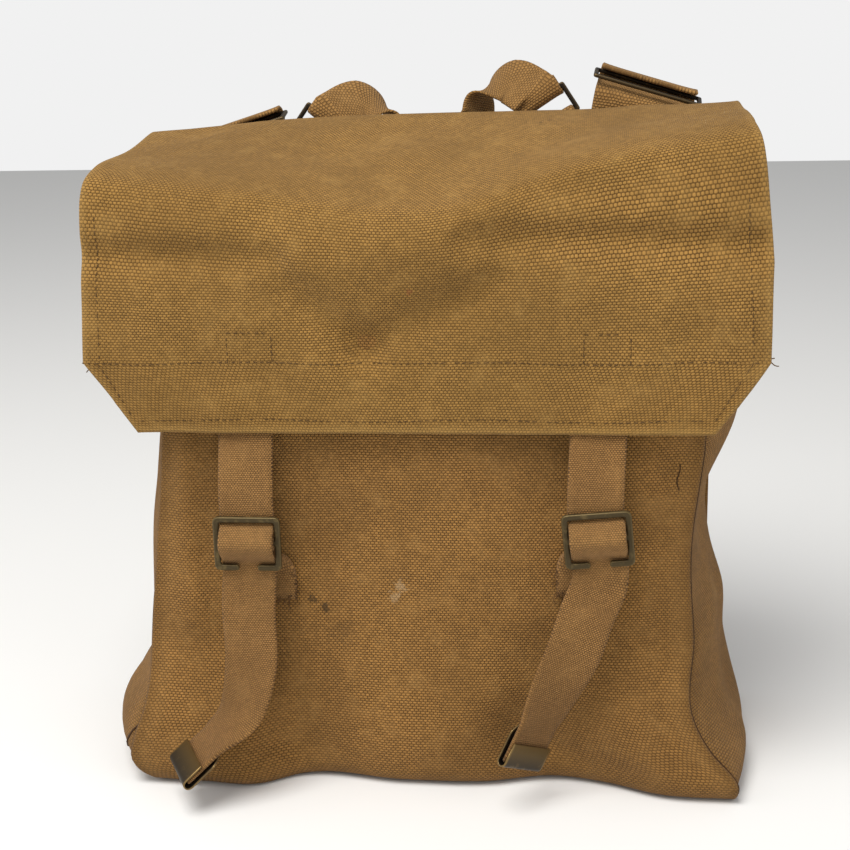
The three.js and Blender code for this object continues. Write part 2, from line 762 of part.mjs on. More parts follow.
// Stations of a rear web, with neither edge nearer to the rear face than its foot
function rearStations(keys, steps, nearest) {
  const stations = smoothStations(keys, steps);
  for (const { point, across } of stations) {
    point.y = Math.max(point.y, nearest + Math.abs(across.y) * loopWidth / 2);
  }
  return stations;
}

function smallBuckleMiddle(side) {
  const x = backCentre + sideSign[side] * smallBuckleSpread / 2;
  return new THREE.Vector3(x, footY + smallWrapRadius, backHeight + smallBuckleRise[side]);
}

// The long line of a small buckle and the line square to it, both in the plane of the back
function smallBuckleLines(side) {
  const sign = sideSign[side];
  const lean = THREE.MathUtils.degToRad(smallBuckleLean[side]);
  const long = new THREE.Vector3(sign * Math.cos(lean), 0, Math.sin(lean));
  const square = new THREE.Vector3(-sign * Math.sin(lean), 0, Math.cos(lean));
  return { long, square };
}

// A web that comes to a rail from the bag's side, goes round it through the slot and ends behind itself
function railWrap(side, railSide) {
  const { long, square } = smallBuckleLines(side);
  const middle = smallBuckleMiddle(side).addScaledVector(square, railSide * smallRailOffset);
  const stations = [];
  const turns = 8;
  for (let k = 0; k <= turns; k += 1) {
    const angle = Math.PI * k / turns;
    const point = middle.clone().addScaledVector(backwards, -smallWrapRadius * Math.cos(angle));
    point.addScaledVector(square, -railSide * smallWrapRadius * Math.sin(angle));
    stations.push({ point, across: long });
  }
  const tail = middle.clone().addScaledVector(backwards, smallWrapRadius);
  stations.push({ point: tail.addScaledVector(square, railSide * railEase), across: long });
  return stations;
}

// Loops run from a foot on the back, over in an arch, and round the upper rail of the small buckle
function loopStations(side) {
  const sign = sideSign[side];
  const { long, square } = smallBuckleLines(side);
  const middle = smallBuckleMiddle(side);
  const keys = loopRun.map((row) => {
    const point = new THREE.Vector3(-sign * row.inwards, 0, row.up).multiplyScalar(loopSpan).add(middle);
    point.y = footY + row.back * loopSpan;
    return { point, across: new THREE.Vector3(sign * row.crossOut, row.crossBack, row.crossUp).normalize() };
  });
  const leg = middle.clone().addScaledVector(square, smallRailOffset + loopEase);
  leg.y = footY;
  keys.push({ point: leg, across: long });
  return [...rearStations(keys, 4, footY), ...railWrap(side, 1)];
}

// Small chapes run straight up from a foot on the back and round the lower rail of the small buckle
function smallChapeStations(side) {
  const { long, square } = smallBuckleLines(side);
  const rail = smallBuckleMiddle(side).addScaledVector(square, -smallRailOffset);
  rail.y = footY;
  const stations = [];
  for (let k = 0; k < chapeSteps; k += 1) {
    const down = chapeLength * (1 - k / chapeSteps);
    stations.push({ point: rail.clone().addScaledVector(square, -down), across: long });
  }
  return [...stations, ...railWrap(side, -1)];
}

// Wide chapes lie over the small ones, run up under the near rail of the buckle and go round the far one
const wideFootY = footY + webWall + seamGap;
const wideRailOffset = (wideBuckleHeight - wideBuckleBar) / 2;
const wideWrapRadius = Math.hypot(wideBuckleBar, wideBuckleThick) / 2 + strapGap + webWall / 2;

function wideBuckleMiddle(side) {
  const x = backCentre + sideSign[side] * wideReach[side];
  return new THREE.Vector3(x, rearFace + wideBuckleHeight / 2 + wideStandOff, backHeight + wideRise[side]);
}

// The turn of a wide buckle: tilted up at the rear, then turned in the plane of the back
function wideRotation(side) {
  const tilt = THREE.MathUtils.degToRad(wideTilt);
  const turn = THREE.MathUtils.degToRad(wideTurn) * sideSign[side];
  return new THREE.Euler(tilt, turn, 0, "YXZ");
}

function wideStations(side) {
  const rotation = wideRotation(side);
  const across = rightwards.clone().applyEuler(rotation);
  const middle = wideBuckleMiddle(side);
  const under = wideBuckleThick / 2 + strapGap + webWall / 2;
  function place(y, rise) {
    return new THREE.Vector3(0, y, rise).applyEuler(rotation).add(middle);
  }
  const footX = middle.x - sideSign[side] * wideFootIn;
  const footTop = middle.z - wideFootDrop;
  const keys = [
    { point: new THREE.Vector3(footX, wideFootY, footTop - wideFoot), across: rightwards },
    { point: new THREE.Vector3(footX, wideFootY, footTop), across: rightwards },
    { point: place(-wideRailOffset - strapGap, -under - wideDip), across },
    { point: place(0, -under - 2 * strapGap), across },
    { point: place(wideRailOffset - webWall / 2, -wideWrapRadius - strapGap / 2), across },
  ];
  const stations = rearStations(keys, 3, wideFootY);
  const turns = 7;
  for (let k = 1; k <= turns; k += 1) {
    const angle = THREE.MathUtils.degToRad(wideWrap.startAngle + (wideWrap.sweepAngle * k) / turns);
    const y = wideRailOffset + wideWrapRadius * Math.cos(angle);
    stations.push({ point: place(y, wideWrapRadius * Math.sin(angle)), across });
  }
  stations.push({ point: place(0, wideWrapRadius + strapGap), across });
  return stations;
}

// Colours and finishes
const canvas = { color: 0xa8864f, roughness: 0.95, metalness: 0 };
const bodyCanvas = { color: 0x966e3f, roughness: 0.95, metalness: 0 };
const webbing = { color: 0xa27e56, roughness: 0.93, metalness: 0 };
const dullBrass = { color: 0x5a4e34, roughness: 0.5, metalness: 0.8 };
const darkBrass = { color: 0x4a4038, roughness: 0.45, metalness: 0.8 };

const haversack = new THREE.Group();

function addPiece(parent, name, geometry, finish) {
  const material = new THREE.MeshStandardMaterial({ ...finish, side: THREE.DoubleSide });
  const mesh = new THREE.Mesh(geometry, material);
  mesh.name = name;
  parent.add(mesh);
  return mesh;
}

const body = new THREE.Group();
haversack.add(body);
addPiece(body, "main_panel", sheetFromGrid(panelGrid, canvasWall, panelNormals), bodyCanvas);
addPiece(body, "flap", sheetFromGrid(flapGrid, canvasWall), canvas);

const fastenings = new THREE.Group();
const rearFittings = new THREE.Group();
haversack.add(fastenings, rearFittings);

for (const side of ["left", "right"]) {
  addPiece(body, "side_gusset_" + side, gussetGeometry(side), bodyCanvas);

  const strap = strapStations(side);
  addPiece(fastenings, "closing_strap_" + side, bandGeometry(strap, strapWidth, webWall), webbing);
  addPiece(fastenings, "strap_tip_" + side, tipGeometry(strap), darkBrass);
  addPiece(fastenings, "buckle_tab_" + side, tabGeometry(side), webbing);
  const buckle = addPiece(fastenings, "strap_buckle_" + side, buckleGeometry(), dullBrass);
  buckle.position.copy(buckleMiddle(side));
  buckle.rotation.y = -THREE.MathUtils.degToRad(buckleRoll[side]);

  const loop = bandGeometry(loopStations(side), loopWidth, webWall);
  addPiece(rearFittings, "top_loop_" + side, loop, webbing);
  const smallChape = bandGeometry(smallChapeStations(side), loopWidth, webWall);
  addPiece(rearFittings, "small_chape_" + side, smallChape, webbing);
  const smallFrame = frameGeometry(smallBuckleLength, smallBuckleHeight, smallBuckleBar, smallBuckleBar);
  const smallBuckle = addPiece(rearFittings, "small_buckle_" + side, smallFrame, darkBrass);
  smallBuckle.position.copy(smallBuckleMiddle(side));
  smallBuckle.rotation.y = -sideSign[side] * THREE.MathUtils.degToRad(smallBuckleLean[side]);

  const wideChape = bandGeometry(wideStations(side), wideWebWidth, webWall);
  addPiece(rearFittings, "wide_chape_" + side, wideChape, webbing);
  const wideFrame = frameGeometry(wideBuckleLength, wideBuckleHeight, wideBuckleBar, wideBuckleThick);
  wideFrame.rotateX(Math.PI / 2);
  const wideBuckle = addPiece(rearFittings, "wide_buckle_" + side, wideFrame, darkBrass);
  wideBuckle.position.copy(wideBuckleMiddle(side));
  wideBuckle.rotation.copy(wideRotation(side));
}

export default haversack;
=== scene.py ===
import math

import bpy
import numpy as np
from mathutils import Matrix, Vector
from mathutils.bvhtree import BVHTree


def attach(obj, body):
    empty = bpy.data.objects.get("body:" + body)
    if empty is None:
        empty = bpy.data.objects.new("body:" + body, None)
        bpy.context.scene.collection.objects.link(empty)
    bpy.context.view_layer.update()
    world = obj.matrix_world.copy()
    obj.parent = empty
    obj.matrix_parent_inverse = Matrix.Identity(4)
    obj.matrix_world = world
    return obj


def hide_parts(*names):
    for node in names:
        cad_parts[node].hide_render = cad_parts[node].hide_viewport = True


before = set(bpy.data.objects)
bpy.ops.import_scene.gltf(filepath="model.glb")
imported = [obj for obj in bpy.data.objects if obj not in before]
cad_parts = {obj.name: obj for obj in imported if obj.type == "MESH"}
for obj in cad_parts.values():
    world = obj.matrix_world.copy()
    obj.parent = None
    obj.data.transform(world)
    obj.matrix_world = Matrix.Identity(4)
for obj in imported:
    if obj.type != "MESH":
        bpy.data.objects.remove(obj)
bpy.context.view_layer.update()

# The bag stands on the floor with its front towards -Y. Sizes are in millimetres, and meshes are in metres.
MM = 0.001

CANVAS_WALL = 2.0
WEB_WALL = 1.9
METAL_WALL = 0.8
SEAM_GAP = 0.3
GUSSET_GAP = 0.6

BODY_DEPTH = 106.0
HALF_DEPTH = BODY_DEPTH / 2
FRONT_HEIGHT = 272.0
BACK_HEIGHT = 298.0
GUSSET_BACK_HEIGHT = 286.0
MOUTH_WIDTH = 254.0
BASE_WIDTH = 298.0
BACK_WIDTH = 276.0
BASE_ROUND = 10.0
BASE_HEEL = 14.0
BASE_PUFF = 17.0
BASE_PUFF_HEIGHT = 80.0
BACK_FLARE_HEIGHT = 90.0
FRONT_CROWN = 4.0
BACK_CROWN = 3.0
GUSSET_SWELL = 25.0
BODY_FOLD = 4.0

FLAP_WIDTH = 317.0
FLAP_HEIGHT = 318.0
FLAP_OVERLAP = 22.0
HEM_HEIGHT = 182.0
FLAP_STAND_OFF = 13.0
CORNER_CUT_ACROSS = 24.0
CORNER_CUT_UP = 33.0
HEM_SHIFT = -0.6
FOLD_DEPTH = 7.0

STRAP_WIDTH = 25.0
STRAP_COLUMNS = 10
WIDE_WIDTH = 50.0
TIP_WIDTH = 27.0
TIP_LENGTH = 14.0
TIP_POINT = 6.0

# Flare of the front seams by share of the height
SEAM_HEIGHTS = [0.0, 0.045, 0.092, 0.132, 0.28, 0.42, 0.66, 1.0]
SEAM_FLARE = {
    "left": [0.45, 0.93, 0.88, 0.7, 0.5, 0.3, -0.05, -0.14],
    "right": [0.9, 0.85, 0.32, 0.0, -0.07, -0.17, 0.1, 0.14],
}

# Swell of the gussets by share of the height
SWELL_HEIGHTS = [0.0, 0.03, 0.07, 0.11, 0.18, 0.26, 0.34, 0.42, 0.53, 0.66, 1.0]
SWELL = {
    "left": [0.05, 0.4, 0.82, 0.84, 0.46, 0.34, 0.42, 0.5, 0.38, 0.32, 0.3],
    "right": [0.1, 0.35, 0.46, 0.46, 0.54, 0.52, 0.27, 0.08, 0.26, 0.72, 0.5],
}

# The corner seam of the left gusset: its height at the front, how far it runs back, and its low end
CORNER_SEAM = {"left": (31.0, 9.0, 15.0)}

# How far the foot of the front stands forward across the width
PUFF_ACROSS = [-1.0, -0.82, -0.62, -0.48, -0.1, 0.18, 0.42, 0.58, 0.76, 1.0]
PUFF = [1.2, 1.3, 1.35, 0.66, 0.85, 0.82, 0.36, 0.66, 1.3, 1.45]

# Folds: from and to in half widths and shares of the height, the reach as a share of the height, and the push
BODY_FOLDS = [
    (-0.93, 0.66, -0.86, 0.3, 0.03, 0.7),
    (0.93, 0.62, 0.9, 0.2, 0.03, -0.4),
    (0.9, 0.13, 0.86, 0.03, 0.03, -0.8),
    (0.36, 0.1, 0.44, 0.0, 0.05, -0.7),
    (-0.54, 0.12, -0.46, 0.0, 0.05, -0.6),
]
FLAP_FOLDS = [
    (-0.37, 0.5, -0.165, 0.3, 0.07, -0.6),
    (-0.165, 0.3, 0.223, 0.52, 0.07, -0.62),
    (-0.3, 0.6, 0.12, 0.66, 0.16, 0.95),
    (0.6, 1.0, 0.07, 0.75, 0.09, 0.6),
    (0.15, 0.66, 0.96, 0.64, 0.06, -0.7),
    (-0.97, 0.61, -0.42, 0.6, 0.055, -0.6),
    (0.3, 0.86, 0.62, 0.8, 0.06, -0.3),
    (-0.9, 0.92, -0.7, 0.84, 0.05, -0.35),
    (0.3, 0.5, 0.9, 0.44, 0.1, 0.25),
]

# Sections of the flap: forward in half depths, half widths of the two sides, heights at five places across
FLAP_SECTIONS = [
    (-1.0, 0.89, 0.89, (0.93, 0.93, 0.93, 0.93, 0.93)),
    (-0.99, 0.92, 0.92, (0.953, 0.968, 0.974, 0.979, 0.986)),
    (-0.86, 0.938, 0.936, (0.978, 0.996, 1.001, 1.004, 1.013)),
    (0.0, 0.95, 0.938, (0.962, 0.966, 0.962, 0.988, 1.013)),
    (0.86, 0.962, 0.94, (0.956, 0.932, 0.911, 0.967, 1.01)),
    (1.13, 0.98, 0.966, (0.918, 0.893, 0.877, 0.925, 0.962)),
    (1.2, 0.992, 0.995, (0.8, 0.79, 0.79, 0.8, 0.82)),
]

# Keys of the webs: a point on the middle line, and the direction across the web
STRAP_KEYS = {
    "left": [
        ((-84.0, -60.8, 229.0), (1, 0, 0)),
        ((-84.0, -61.5, 206.5), (1, 0, 0)),
        ((-84.0, -62.2, 184.0), (1, 0, 0)),
        ((-84.0, -70.5, 152.4), (1, 0, 0)),
        ((-84.0, -70.3, 141.0), (1, 0, 0)),
        ((-84.0, -70.7, 138.8), (1, 0, 0)),
        ((-84.0, -76.4, 133.6), (1, 0, 0)),
        ((-84.0, -78.4, 129.5), (1, 0, 0)),
        ((-84.0, -76.4, 125.4), (1, 0, 0)),
        ((-84.0, -70.7, 119.2), (1, 0, 0)),
        ((-84.0, -70.3, 115.5), (1, 0, 0)),
        ((-85.5, -71.5, 95.0), (1, 0, 0)),
        ((-85.0, -75.5, 67.6), (0.99, -0.1, 0)),
        ((-90.5, -81.0, 44.8), (0.91, -0.41, 0)),
        ((-103.5, -87.0, 32.3), (0.56, -0.83, 0)),
    ],
    "right": [
        ((81.5, -60.9, 229.0), (1, 0, 0)),
        ((81.5, -61.5, 206.5), (1, 0, 0)),
        ((81.5, -62.2, 184.0), (1, 0, 0)),
        ((80.3, -70.5, 155.3), (1, 0, 0.09)),
        ((80.4, -70.3, 145.0), (1, 0, 0.09)),
        ((80.6, -70.7, 142.8), (1, 0, 0.09)),
        ((81.1, -76.4, 137.6), (1, 0, 0.09)),
        ((81.4, -78.4, 133.5), (1, 0, 0.09)),
        ((81.8, -76.4, 129.4), (1, 0, 0.09)),
        ((82.3, -70.7, 123.2), (1, 0, 0.09)),
        ((82.7, -70.3, 119.6), (1, 0, 0.09)),
        ((82.2, -71.0, 110.4), (1, 0, 0)),
        ((77.0, -71.7, 96.7), (1, 0, 0)),
        ((70.0, -74.0, 76.2), (0.99, 0.1, 0)),
        ((61.0, -77.5, 57.9), (0.91, 0.41, 0)),
        ((53.5, -81.0, 42.0), (0.72, 0.69, 0)),
    ],
}
BUCKLE = {"left": ((-84.0, -73.0, 129.0), 0.0), "right": ((81.5, -73.0, 133.0), 5.0)}
BAR = {"left": (-84.0, -73.0, 129.5), "right": (81.44, -73.0, 133.5)}
TAB_RUN = [(0.5, 0.28, 0.05), (0.86, 0.46, 0.6), (1.0, 0.62, 1.0), (1.0, 1.0, 1.0)]
TAB_FAR = -58.4
TAB_LENGTH = 33.0
TAB_SKEW = 6.5
TAB_RADIUS = 2.95

FOOT_Y = 56.72
WIDE_FOOT_Y = 58.92
LOOP_KEYS = {
    "left": [
        ((-27.0, 56.7, 259.5), (-1, 0, 0)),
        ((-27.0, 56.7, 283.3), (-1, 0, 0)),
        ((-26.6, 68.6, 306.4), (-0.55, 0.83, 0)),
        ((-29.4, 70.0, 318.3), (-0.5, 0.81, 0.31)),
        ((-42.7, 66.2, 323.6), (-0.5, 0.42, 0.76)),
        ((-55.0, 56.7, 318.0), (-0.81, 0, 0.59)),
    ],
    "right": [
        ((19.0, 56.7, 268.0), (1, 0, 0)),
        ((19.0, 56.7, 291.8), (1, 0, 0)),
        ((18.6, 68.6, 314.9), (0.55, 0.83, 0)),
        ((21.4, 70.0, 326.8), (0.5, 0.81, 0.31)),
        ((34.7, 66.2, 332.1), (0.5, 0.42, 0.76)),
        ((47.5, 56.7, 326.9), (0.84, 0, 0.54)),
    ],
}
SMALL_BUCKLE = {"left": ((-61.96, 59.66, 308.5), 36.0), "right": ((53.96, 59.66, 317.0), 33.0)}
SMALL_RAIL = 7.3
SMALL_WRAP = 2.95
SMALL_TAIL = 6.0
CHAPE_LENGTH = 30.0
WIDE_MIDDLE = {"left": (-110.26, 66.97, 309.0), "right": (105.57, 66.97, 328.0)}
WIDE_TURN = 17.0
WIDE_TILT = 8.0
WIDE_RAIL = 7.3
WIDE_WRAP = 3.01
WIDE_FOOT = {"left": (-105.3, 239.0, 283.0), "right": (100.6, 258.0, 302.0)}
SIGN = {"left": -1, "right": 1}


# Curves and tables

def hermite(xs, ys, at):
    """A smooth curve through the rows of a table, read at one place or many."""
    xs, ys = np.asarray(xs, float), np.asarray(ys, float)
    slopes = np.gradient(ys, xs)
    at = np.clip(np.asarray(at, float), xs[0], xs[-1])
    i = np.clip(np.searchsorted(xs, at, side="right") - 1, 0, len(xs) - 2)
    run = xs[i + 1] - xs[i]
    t = (at - xs[i]) / run
    a = (1 + 2 * t) * (1 - t) ** 2
    b = t * (1 - t) ** 2
    c = t * t * (3 - 2 * t)
    d = t * t * (t - 1)
    return a * ys[i] + b * run * slopes[i] + c * ys[i + 1] + d * run * slopes[i + 1]


def smooth(low, high, at):
    t = np.clip((np.asarray(at, float) - low) / (high - low), 0, 1)
    return t * t * (3 - 2 * t)


def fold_push(folds, x, up, half, height):
    """The sum of the folds' pushes at places x and up, in millimetres."""
    push = np.zeros(np.broadcast(x, up).shape)
    for x0, u0, x1, u1, reach, amount in folds:
        ax, ay, bx, by = x0 * half, u0 * height, x1 * half, u1 * height
        dx, dy = bx - ax, by - ay
        t = np.clip(((x - ax) * dx + (up - ay) * dy) / max(dx * dx + dy * dy, 1e-9), 0, 1)
        off2 = ((x - ax - t * dx) ** 2 + (up - ay - t * dy) ** 2) / (reach * height) ** 2
        push = push + amount * np.exp(-off2)
    return push


def spline(keys, steps, power=0.0):
    """Points on a smooth curve through keys, and the share of each span. Power 0.5 is centripetal."""
    keys = np.asarray(keys, float)
    first = 2 * keys[0] - keys[1]
    last = 2 * keys[-1] - keys[-2]
    p = np.concatenate([[first], keys, [last]])
    out, place = [], []
    for s in range(len(keys) - 1):
        p0, p1, p2, p3 = p[s : s + 4]
        pairs = ((p0, p1), (p1, p2), (p2, p3))
        d0, d1, d2 = (max(float(np.sum((b - a) ** 2)) ** (power / 2), 1e-4) for a, b in pairs)
        m1 = ((p1 - p0) / d0 - (p2 - p0) / (d0 + d1) + (p2 - p1) / d1) * d1
        m2 = ((p2 - p1) / d1 - (p3 - p1) / (d1 + d2) + (p3 - p2) / d2) * d1
        n = steps[s] if hasattr(steps, "__len__") else steps
        for k in range(n + (s == len(keys) - 2)):
            t = k / n
            a = (1 + 2 * t) * (1 - t) ** 2
            c = t * t * (3 - 2 * t)
            out.append(a * p1 + t * (1 - t) ** 2 * m1 + c * p2 + t * t * (t - 1) * m2)
            place.append(s + t)
    return np.array(out), np.array(place)


def ripple(x, y, seed, size):
    """Gentle uneven waves from a few sums of sines, from -1 to 1."""
    rng = np.random.default_rng(seed)
    total = np.zeros(np.broadcast(x, y).shape)
    for _ in range(7):
        angle = rng.uniform(0, math.tau)
        pitch = size * rng.uniform(0.6, 1.7)
        wave = (x * math.cos(angle) + y * math.sin(angle)) * math.tau / pitch
        total = total + np.sin(wave + rng.uniform(0, math.tau))
    return total / 3.5


# Meshes

def unit(v):
    return v / np.maximum(np.linalg.norm(v, axis=-1, keepdims=True), 1e-9)


def grid_normals(grid):
    """Outward normals of a grid whose rows run down and whose columns run to the right, seen from outside."""
    down = np.gradient(grid, axis=0)
    right = np.gradient(grid, axis=1)
    return unit(np.cross(down, right))


def lengths(points):
    """Distance along a line of points."""
    step = np.linalg.norm(np.diff(points, axis=0), axis=-1)
    return np.concatenate([np.zeros_like(step[:1]), np.cumsum(step, axis=0)])


def linked(name, data):
    """A new object of the scene that shows a mesh, a curve, a lamp or a camera."""
    piece = bpy.data.objects.new(name, data)
    bpy.context.scene.collection.objects.link(piece)
    return piece


def make_object(name, verts, faces, material):
    mesh = bpy.data.meshes.new(name)
    mesh.from_pydata((np.asarray(verts) * MM).tolist(), [], [list(map(int, f)) for f in faces])
    mesh.materials.append(material)
    mesh.shade_smooth()
    return linked(name, mesh)


def finished(piece, node=None):
    """The piece rides on the bag's one body and replaces its node of the CAD model."""
    if node:
        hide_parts(node)
    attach(piece, "root")
    return piece


def weave_places(across, down):
    """Places on the flat cloth, in millimetres, from the distances across it and down it."""
    return np.stack(np.broadcast_arrays(across, down), -1)


def sheet_piece(name, outer, wall, uv, material, normals=None, fields=None):
    """A closed sheet of cloth with a rounded rim, from the grid of its outer face and its weave places."""
    rows, cols = outer.shape[:2]
    normals = grid_normals(outer) if normals is None else normals
    inner = outer - normals * wall
    ring = [(0, i) for i in range(cols - 1)] + [(j, cols - 1) for j in range(rows - 1)]
    ring += [(rows - 1, i) for i in range(cols - 1, 0, -1)] + [(j, 0) for j in range(rows - 1, 0, -1)]
    j, i = np.array(ring).T
    near_j = np.clip(j, 1, rows - 2)
    near_i = np.clip(i, 1, cols - 2)
    outwards = unit(outer[j, i] - outer[near_j, near_i])
    rim = (outer[j, i] + inner[j, i]) / 2 + outwards * wall * 0.3
    verts = np.concatenate([outer.reshape(-1, 3), inner.reshape(-1, 3), rim])
    n = rows * cols
    index = np.arange(n).reshape(rows, cols)
    a, b = index[:-1, :-1].ravel(), index[:-1, 1:].ravel()
    c, d = index[1:, 1:].ravel(), index[1:, :-1].ravel()
    faces = np.concatenate([np.stack([a, d, c, b], 1), np.stack([a + n, b + n, c + n, d + n], 1)])
    edge = index[j, i]
    after = np.roll(edge, -1)
    rim_at = 2 * n + np.arange(len(edge))
    rim_after = np.roll(rim_at, -1)
    sides = np.concatenate([
        np.stack([edge, after, rim_after, rim_at], 1),
        np.stack([rim_at, rim_after, after + n, edge + n], 1),
    ])
    piece = make_object(name, verts, np.concatenate([faces, sides]).tolist(), material)
    flat_uv = np.concatenate([uv.reshape(-1, 2), uv.reshape(-1, 2), uv[j, i]])
    layer = piece.data.uv_layers.new(name="weave")
    corner = np.empty(len(piece.data.loops), dtype=np.int32)
    piece.data.loops.foreach_get("vertex_index", corner)
    layer.data.foreach_set("uv", (flat_uv[corner] * MM).ravel())
    for label, values in (fields or {}).items():
        values = np.asarray(values, float)
        full = np.concatenate([values.ravel(), values.ravel(), values[j, i]])
        piece.data.attributes.new(label, "FLOAT", "POINT").data.foreach_set("value", full)
    return piece


def web_frames(points, across):
    """The runs, crossways lines and outer faces of a web along its stations."""
    along = unit(np.gradient(points, axis=0))
    across = across - along * np.sum(across * along, axis=1, keepdims=True)
    across = unit(across)
    return along, across, np.cross(across, along)


def web_piece(name, points, across, width, material, columns, fields):
    """A flat woven web along stations, with soft selvedges."""
    points = np.asarray(points, float)
    _, across, face = web_frames(points, np.asarray(across, float))
    side = np.linspace(-0.5, 0.5, columns + 1)
    edge_drop = 0.22 * WEB_WALL * np.abs(2 * side) ** 6
    outer = points[:, None] + across[:, None] * (side * width)[None, :, None]
    outer = outer + face[:, None] * (WEB_WALL / 2 - edge_drop)[None, :, None]
    normals = np.repeat(face[:, None], columns + 1, axis=1)
    run = lengths(points)
    uv = weave_places(side[None] * width, run[:, None])
    return sheet_piece(name, outer, WEB_WALL, uv, material, normals, fields)


def web_keys(keys, steps):
    points, place = spline([k[0] for k in keys], steps, 0.5)
    across = np.array([k[1] for k in keys], float)
    low = np.clip(place.astype(int), 0, len(keys) - 2)
    share = (place - low)[:, None]
    return points, unit(across[low] * (1 - share) + across[low + 1] * share)


# Main panel and gussets

def seam_half(side, height):
    flare = hermite(SEAM_HEIGHTS, SEAM_FLARE[side], np.asarray(height) / FRONT_HEIGHT)
    return (MOUTH_WIDTH + (BASE_WIDTH - MOUTH_WIDTH) * flare) / 2


def back_half(height):
    flare = 1 - smooth(0, BACK_FLARE_HEIGHT, height)
    return (BACK_WIDTH + (BASE_WIDTH - BACK_WIDTH) * flare) / 2


def front_push(across, height):
    foot = BASE_PUFF * hermite(PUFF_ACROSS, PUFF, across)
    foot_share = 1 - smooth(BASE_ROUND, BASE_PUFF_HEIGHT, height)
    crown = FRONT_CROWN * (1 - across * across) * smooth(0, BASE_PUFF_HEIGHT, height)
    fold = BODY_FOLD * fold_push(BODY_FOLDS, across * MOUTH_WIDTH / 2, height, MOUTH_WIDTH / 2, FRONT_HEIGHT)
    fold = fold + 0.7 * ripple(across * MOUTH_WIDTH / 2, np.asarray(height, float), 5, 60)
    mouth = 1 - smooth(0.8 * FRONT_HEIGHT, FRONT_HEIGHT, height)
    return foot * foot_share + (crown + fold * smooth(BASE_ROUND, 2 * BASE_ROUND, height)) * mouth


def back_push(across, height):
    rise = smooth(BASE_HEEL, 0.3 * BACK_HEIGHT, height)
    fall = smooth(0.6 * BACK_HEIGHT, 0.85 * BACK_HEIGHT, height)
    crown = BACK_CROWN * (1 - across * across)
    waves = 0.8 * ripple(across * BACK_WIDTH / 2, np.asarray(height, float), 8, 70)
    return (crown + waves) * rise * (1 - fall)


def half_at(across, left, right):
    return np.where(across < 0, left, right)


def panel_point(across, part, share):
    across = np.asarray(across, float)
    foot_y = -HALF_DEPTH - front_push(across, BASE_ROUND)
    angle = share * math.pi / 2
    if part == "front":
        z = FRONT_HEIGHT + (BASE_ROUND - FRONT_HEIGHT) * share
        y = -HALF_DEPTH - front_push(across, z)
    elif part == "front_round":
        z = BASE_ROUND * (1 - math.sin(angle))
        y = foot_y + BASE_ROUND * (1 - math.cos(angle))
    elif part == "base":
        z = 0.0
        front_y = foot_y + BASE_ROUND
        y = front_y + (HALF_DEPTH - BASE_HEEL - front_y) * share
    elif part == "back_round":
        z = BASE_HEEL * (1 - math.cos(angle))
        y = np.full_like(across, HALF_DEPTH - BASE_HEEL * (1 - math.sin(angle)))
    else:
        z = BASE_HEEL + (BACK_HEIGHT - BASE_HEEL) * share
        y = HALF_DEPTH + back_push(across, z)
    if part in ("front", "front_round"):
        half = half_at(across, seam_half("left", z), seam_half("right", z))
    elif part == "base":
        front_x = half_at(across, seam_half("left", 0), seam_half("right", 0))
        half = front_x + (back_half(0) - front_x) * share
    else:
        half = back_half(z)
    return np.stack(np.broadcast_arrays(across * half, y, z), -1)


FRONT_ROWS, ROUND_ROWS, BASE_ROWS = 96, 8, 24
PANEL_COLUMNS, GUSSET_COLUMNS = 120, 36
EDGE_ROLL = 2.0
GUSSET_SHARE = (GUSSET_BACK_HEIGHT - BASE_HEEL) / (BACK_HEIGHT - BASE_HEEL)


def panel_grid():
    across = np.linspace(-1, 1, PANEL_COLUMNS + 1)
    rows = [("front", k / FRONT_ROWS) for k in range(FRONT_ROWS)]
    rows += [("front_round", k / ROUND_ROWS) for k in range(ROUND_ROWS)]
    rows += [("base", k / BASE_ROWS) for k in range(BASE_ROWS)]
    rows += [("back_round", k / ROUND_ROWS) for k in range(ROUND_ROWS)]
    rows += [("back", GUSSET_SHARE * k / FRONT_ROWS) for k in range(FRONT_ROWS + 1)]
    rows += [("back", 1.0)]
    return np.stack([panel_point(across, part, share) for part, share in rows])


def turned_edges(grid, normals, radius, angles=(35, 70, 105, 135)):
    """The grid with its side edges rolled inwards, as a seam turns them."""
    sides = []
    for column, sign in ((0, -1), (-1, 1)):
        tangent = unit(grid[:, column] - grid[:, column - sign])
        strip = []
        for degrees in angles:
            a = math.radians(degrees)
            inwards = (1 - math.cos(a)) * normals[:, column]
            strip.append(grid[:, column] + radius * (math.sin(a) * tangent - inwards))
        strip = np.stack(strip, 1)
        sides.append(strip[:, ::-1] if sign < 0 else strip)
    return np.concatenate([sides[0], grid, sides[1]], axis=1)


def make_panel(material):
    grid = panel_grid()
    normals = grid_normals(grid)
    full = turned_edges(grid, normals, EDGE_ROLL)
    down = lengths(grid[:, PANEL_COLUMNS // 2])
    width = np.linspace(-MOUTH_WIDTH / 2, MOUTH_WIDTH / 2, PANEL_COLUMNS + 1)
    rolled = np.array([1.5, 3, 4.5, 6])
    u = np.concatenate([width[0] - rolled[::-1], width, width[-1] + rolled])
    uv = weave_places(u[None], -down[:, None])
    from_edge = full[..., 0] - np.where(full[..., 0] < 0, full[:, :1, 0], full[:, -1:, 0])
    seam = np.exp(-((from_edge / 5) ** 2))
    ridge = np.exp(-(((np.abs(from_edge) - 7) / 4) ** 2))
    # Darker towards the bottom, and painted shade in the seam groove along both side edges.
    soil_and_shade = np.clip(0.6 * np.exp(-full[..., 2] / 22) + 0.7 * seam, 0, 1)
    fields = {"soil_and_shade": soil_and_shade, "wear": 0.3 * ridge}
    return sheet_piece("canvas_panel", full, CANVAS_WALL, uv, material, fields=fields), grid, normals


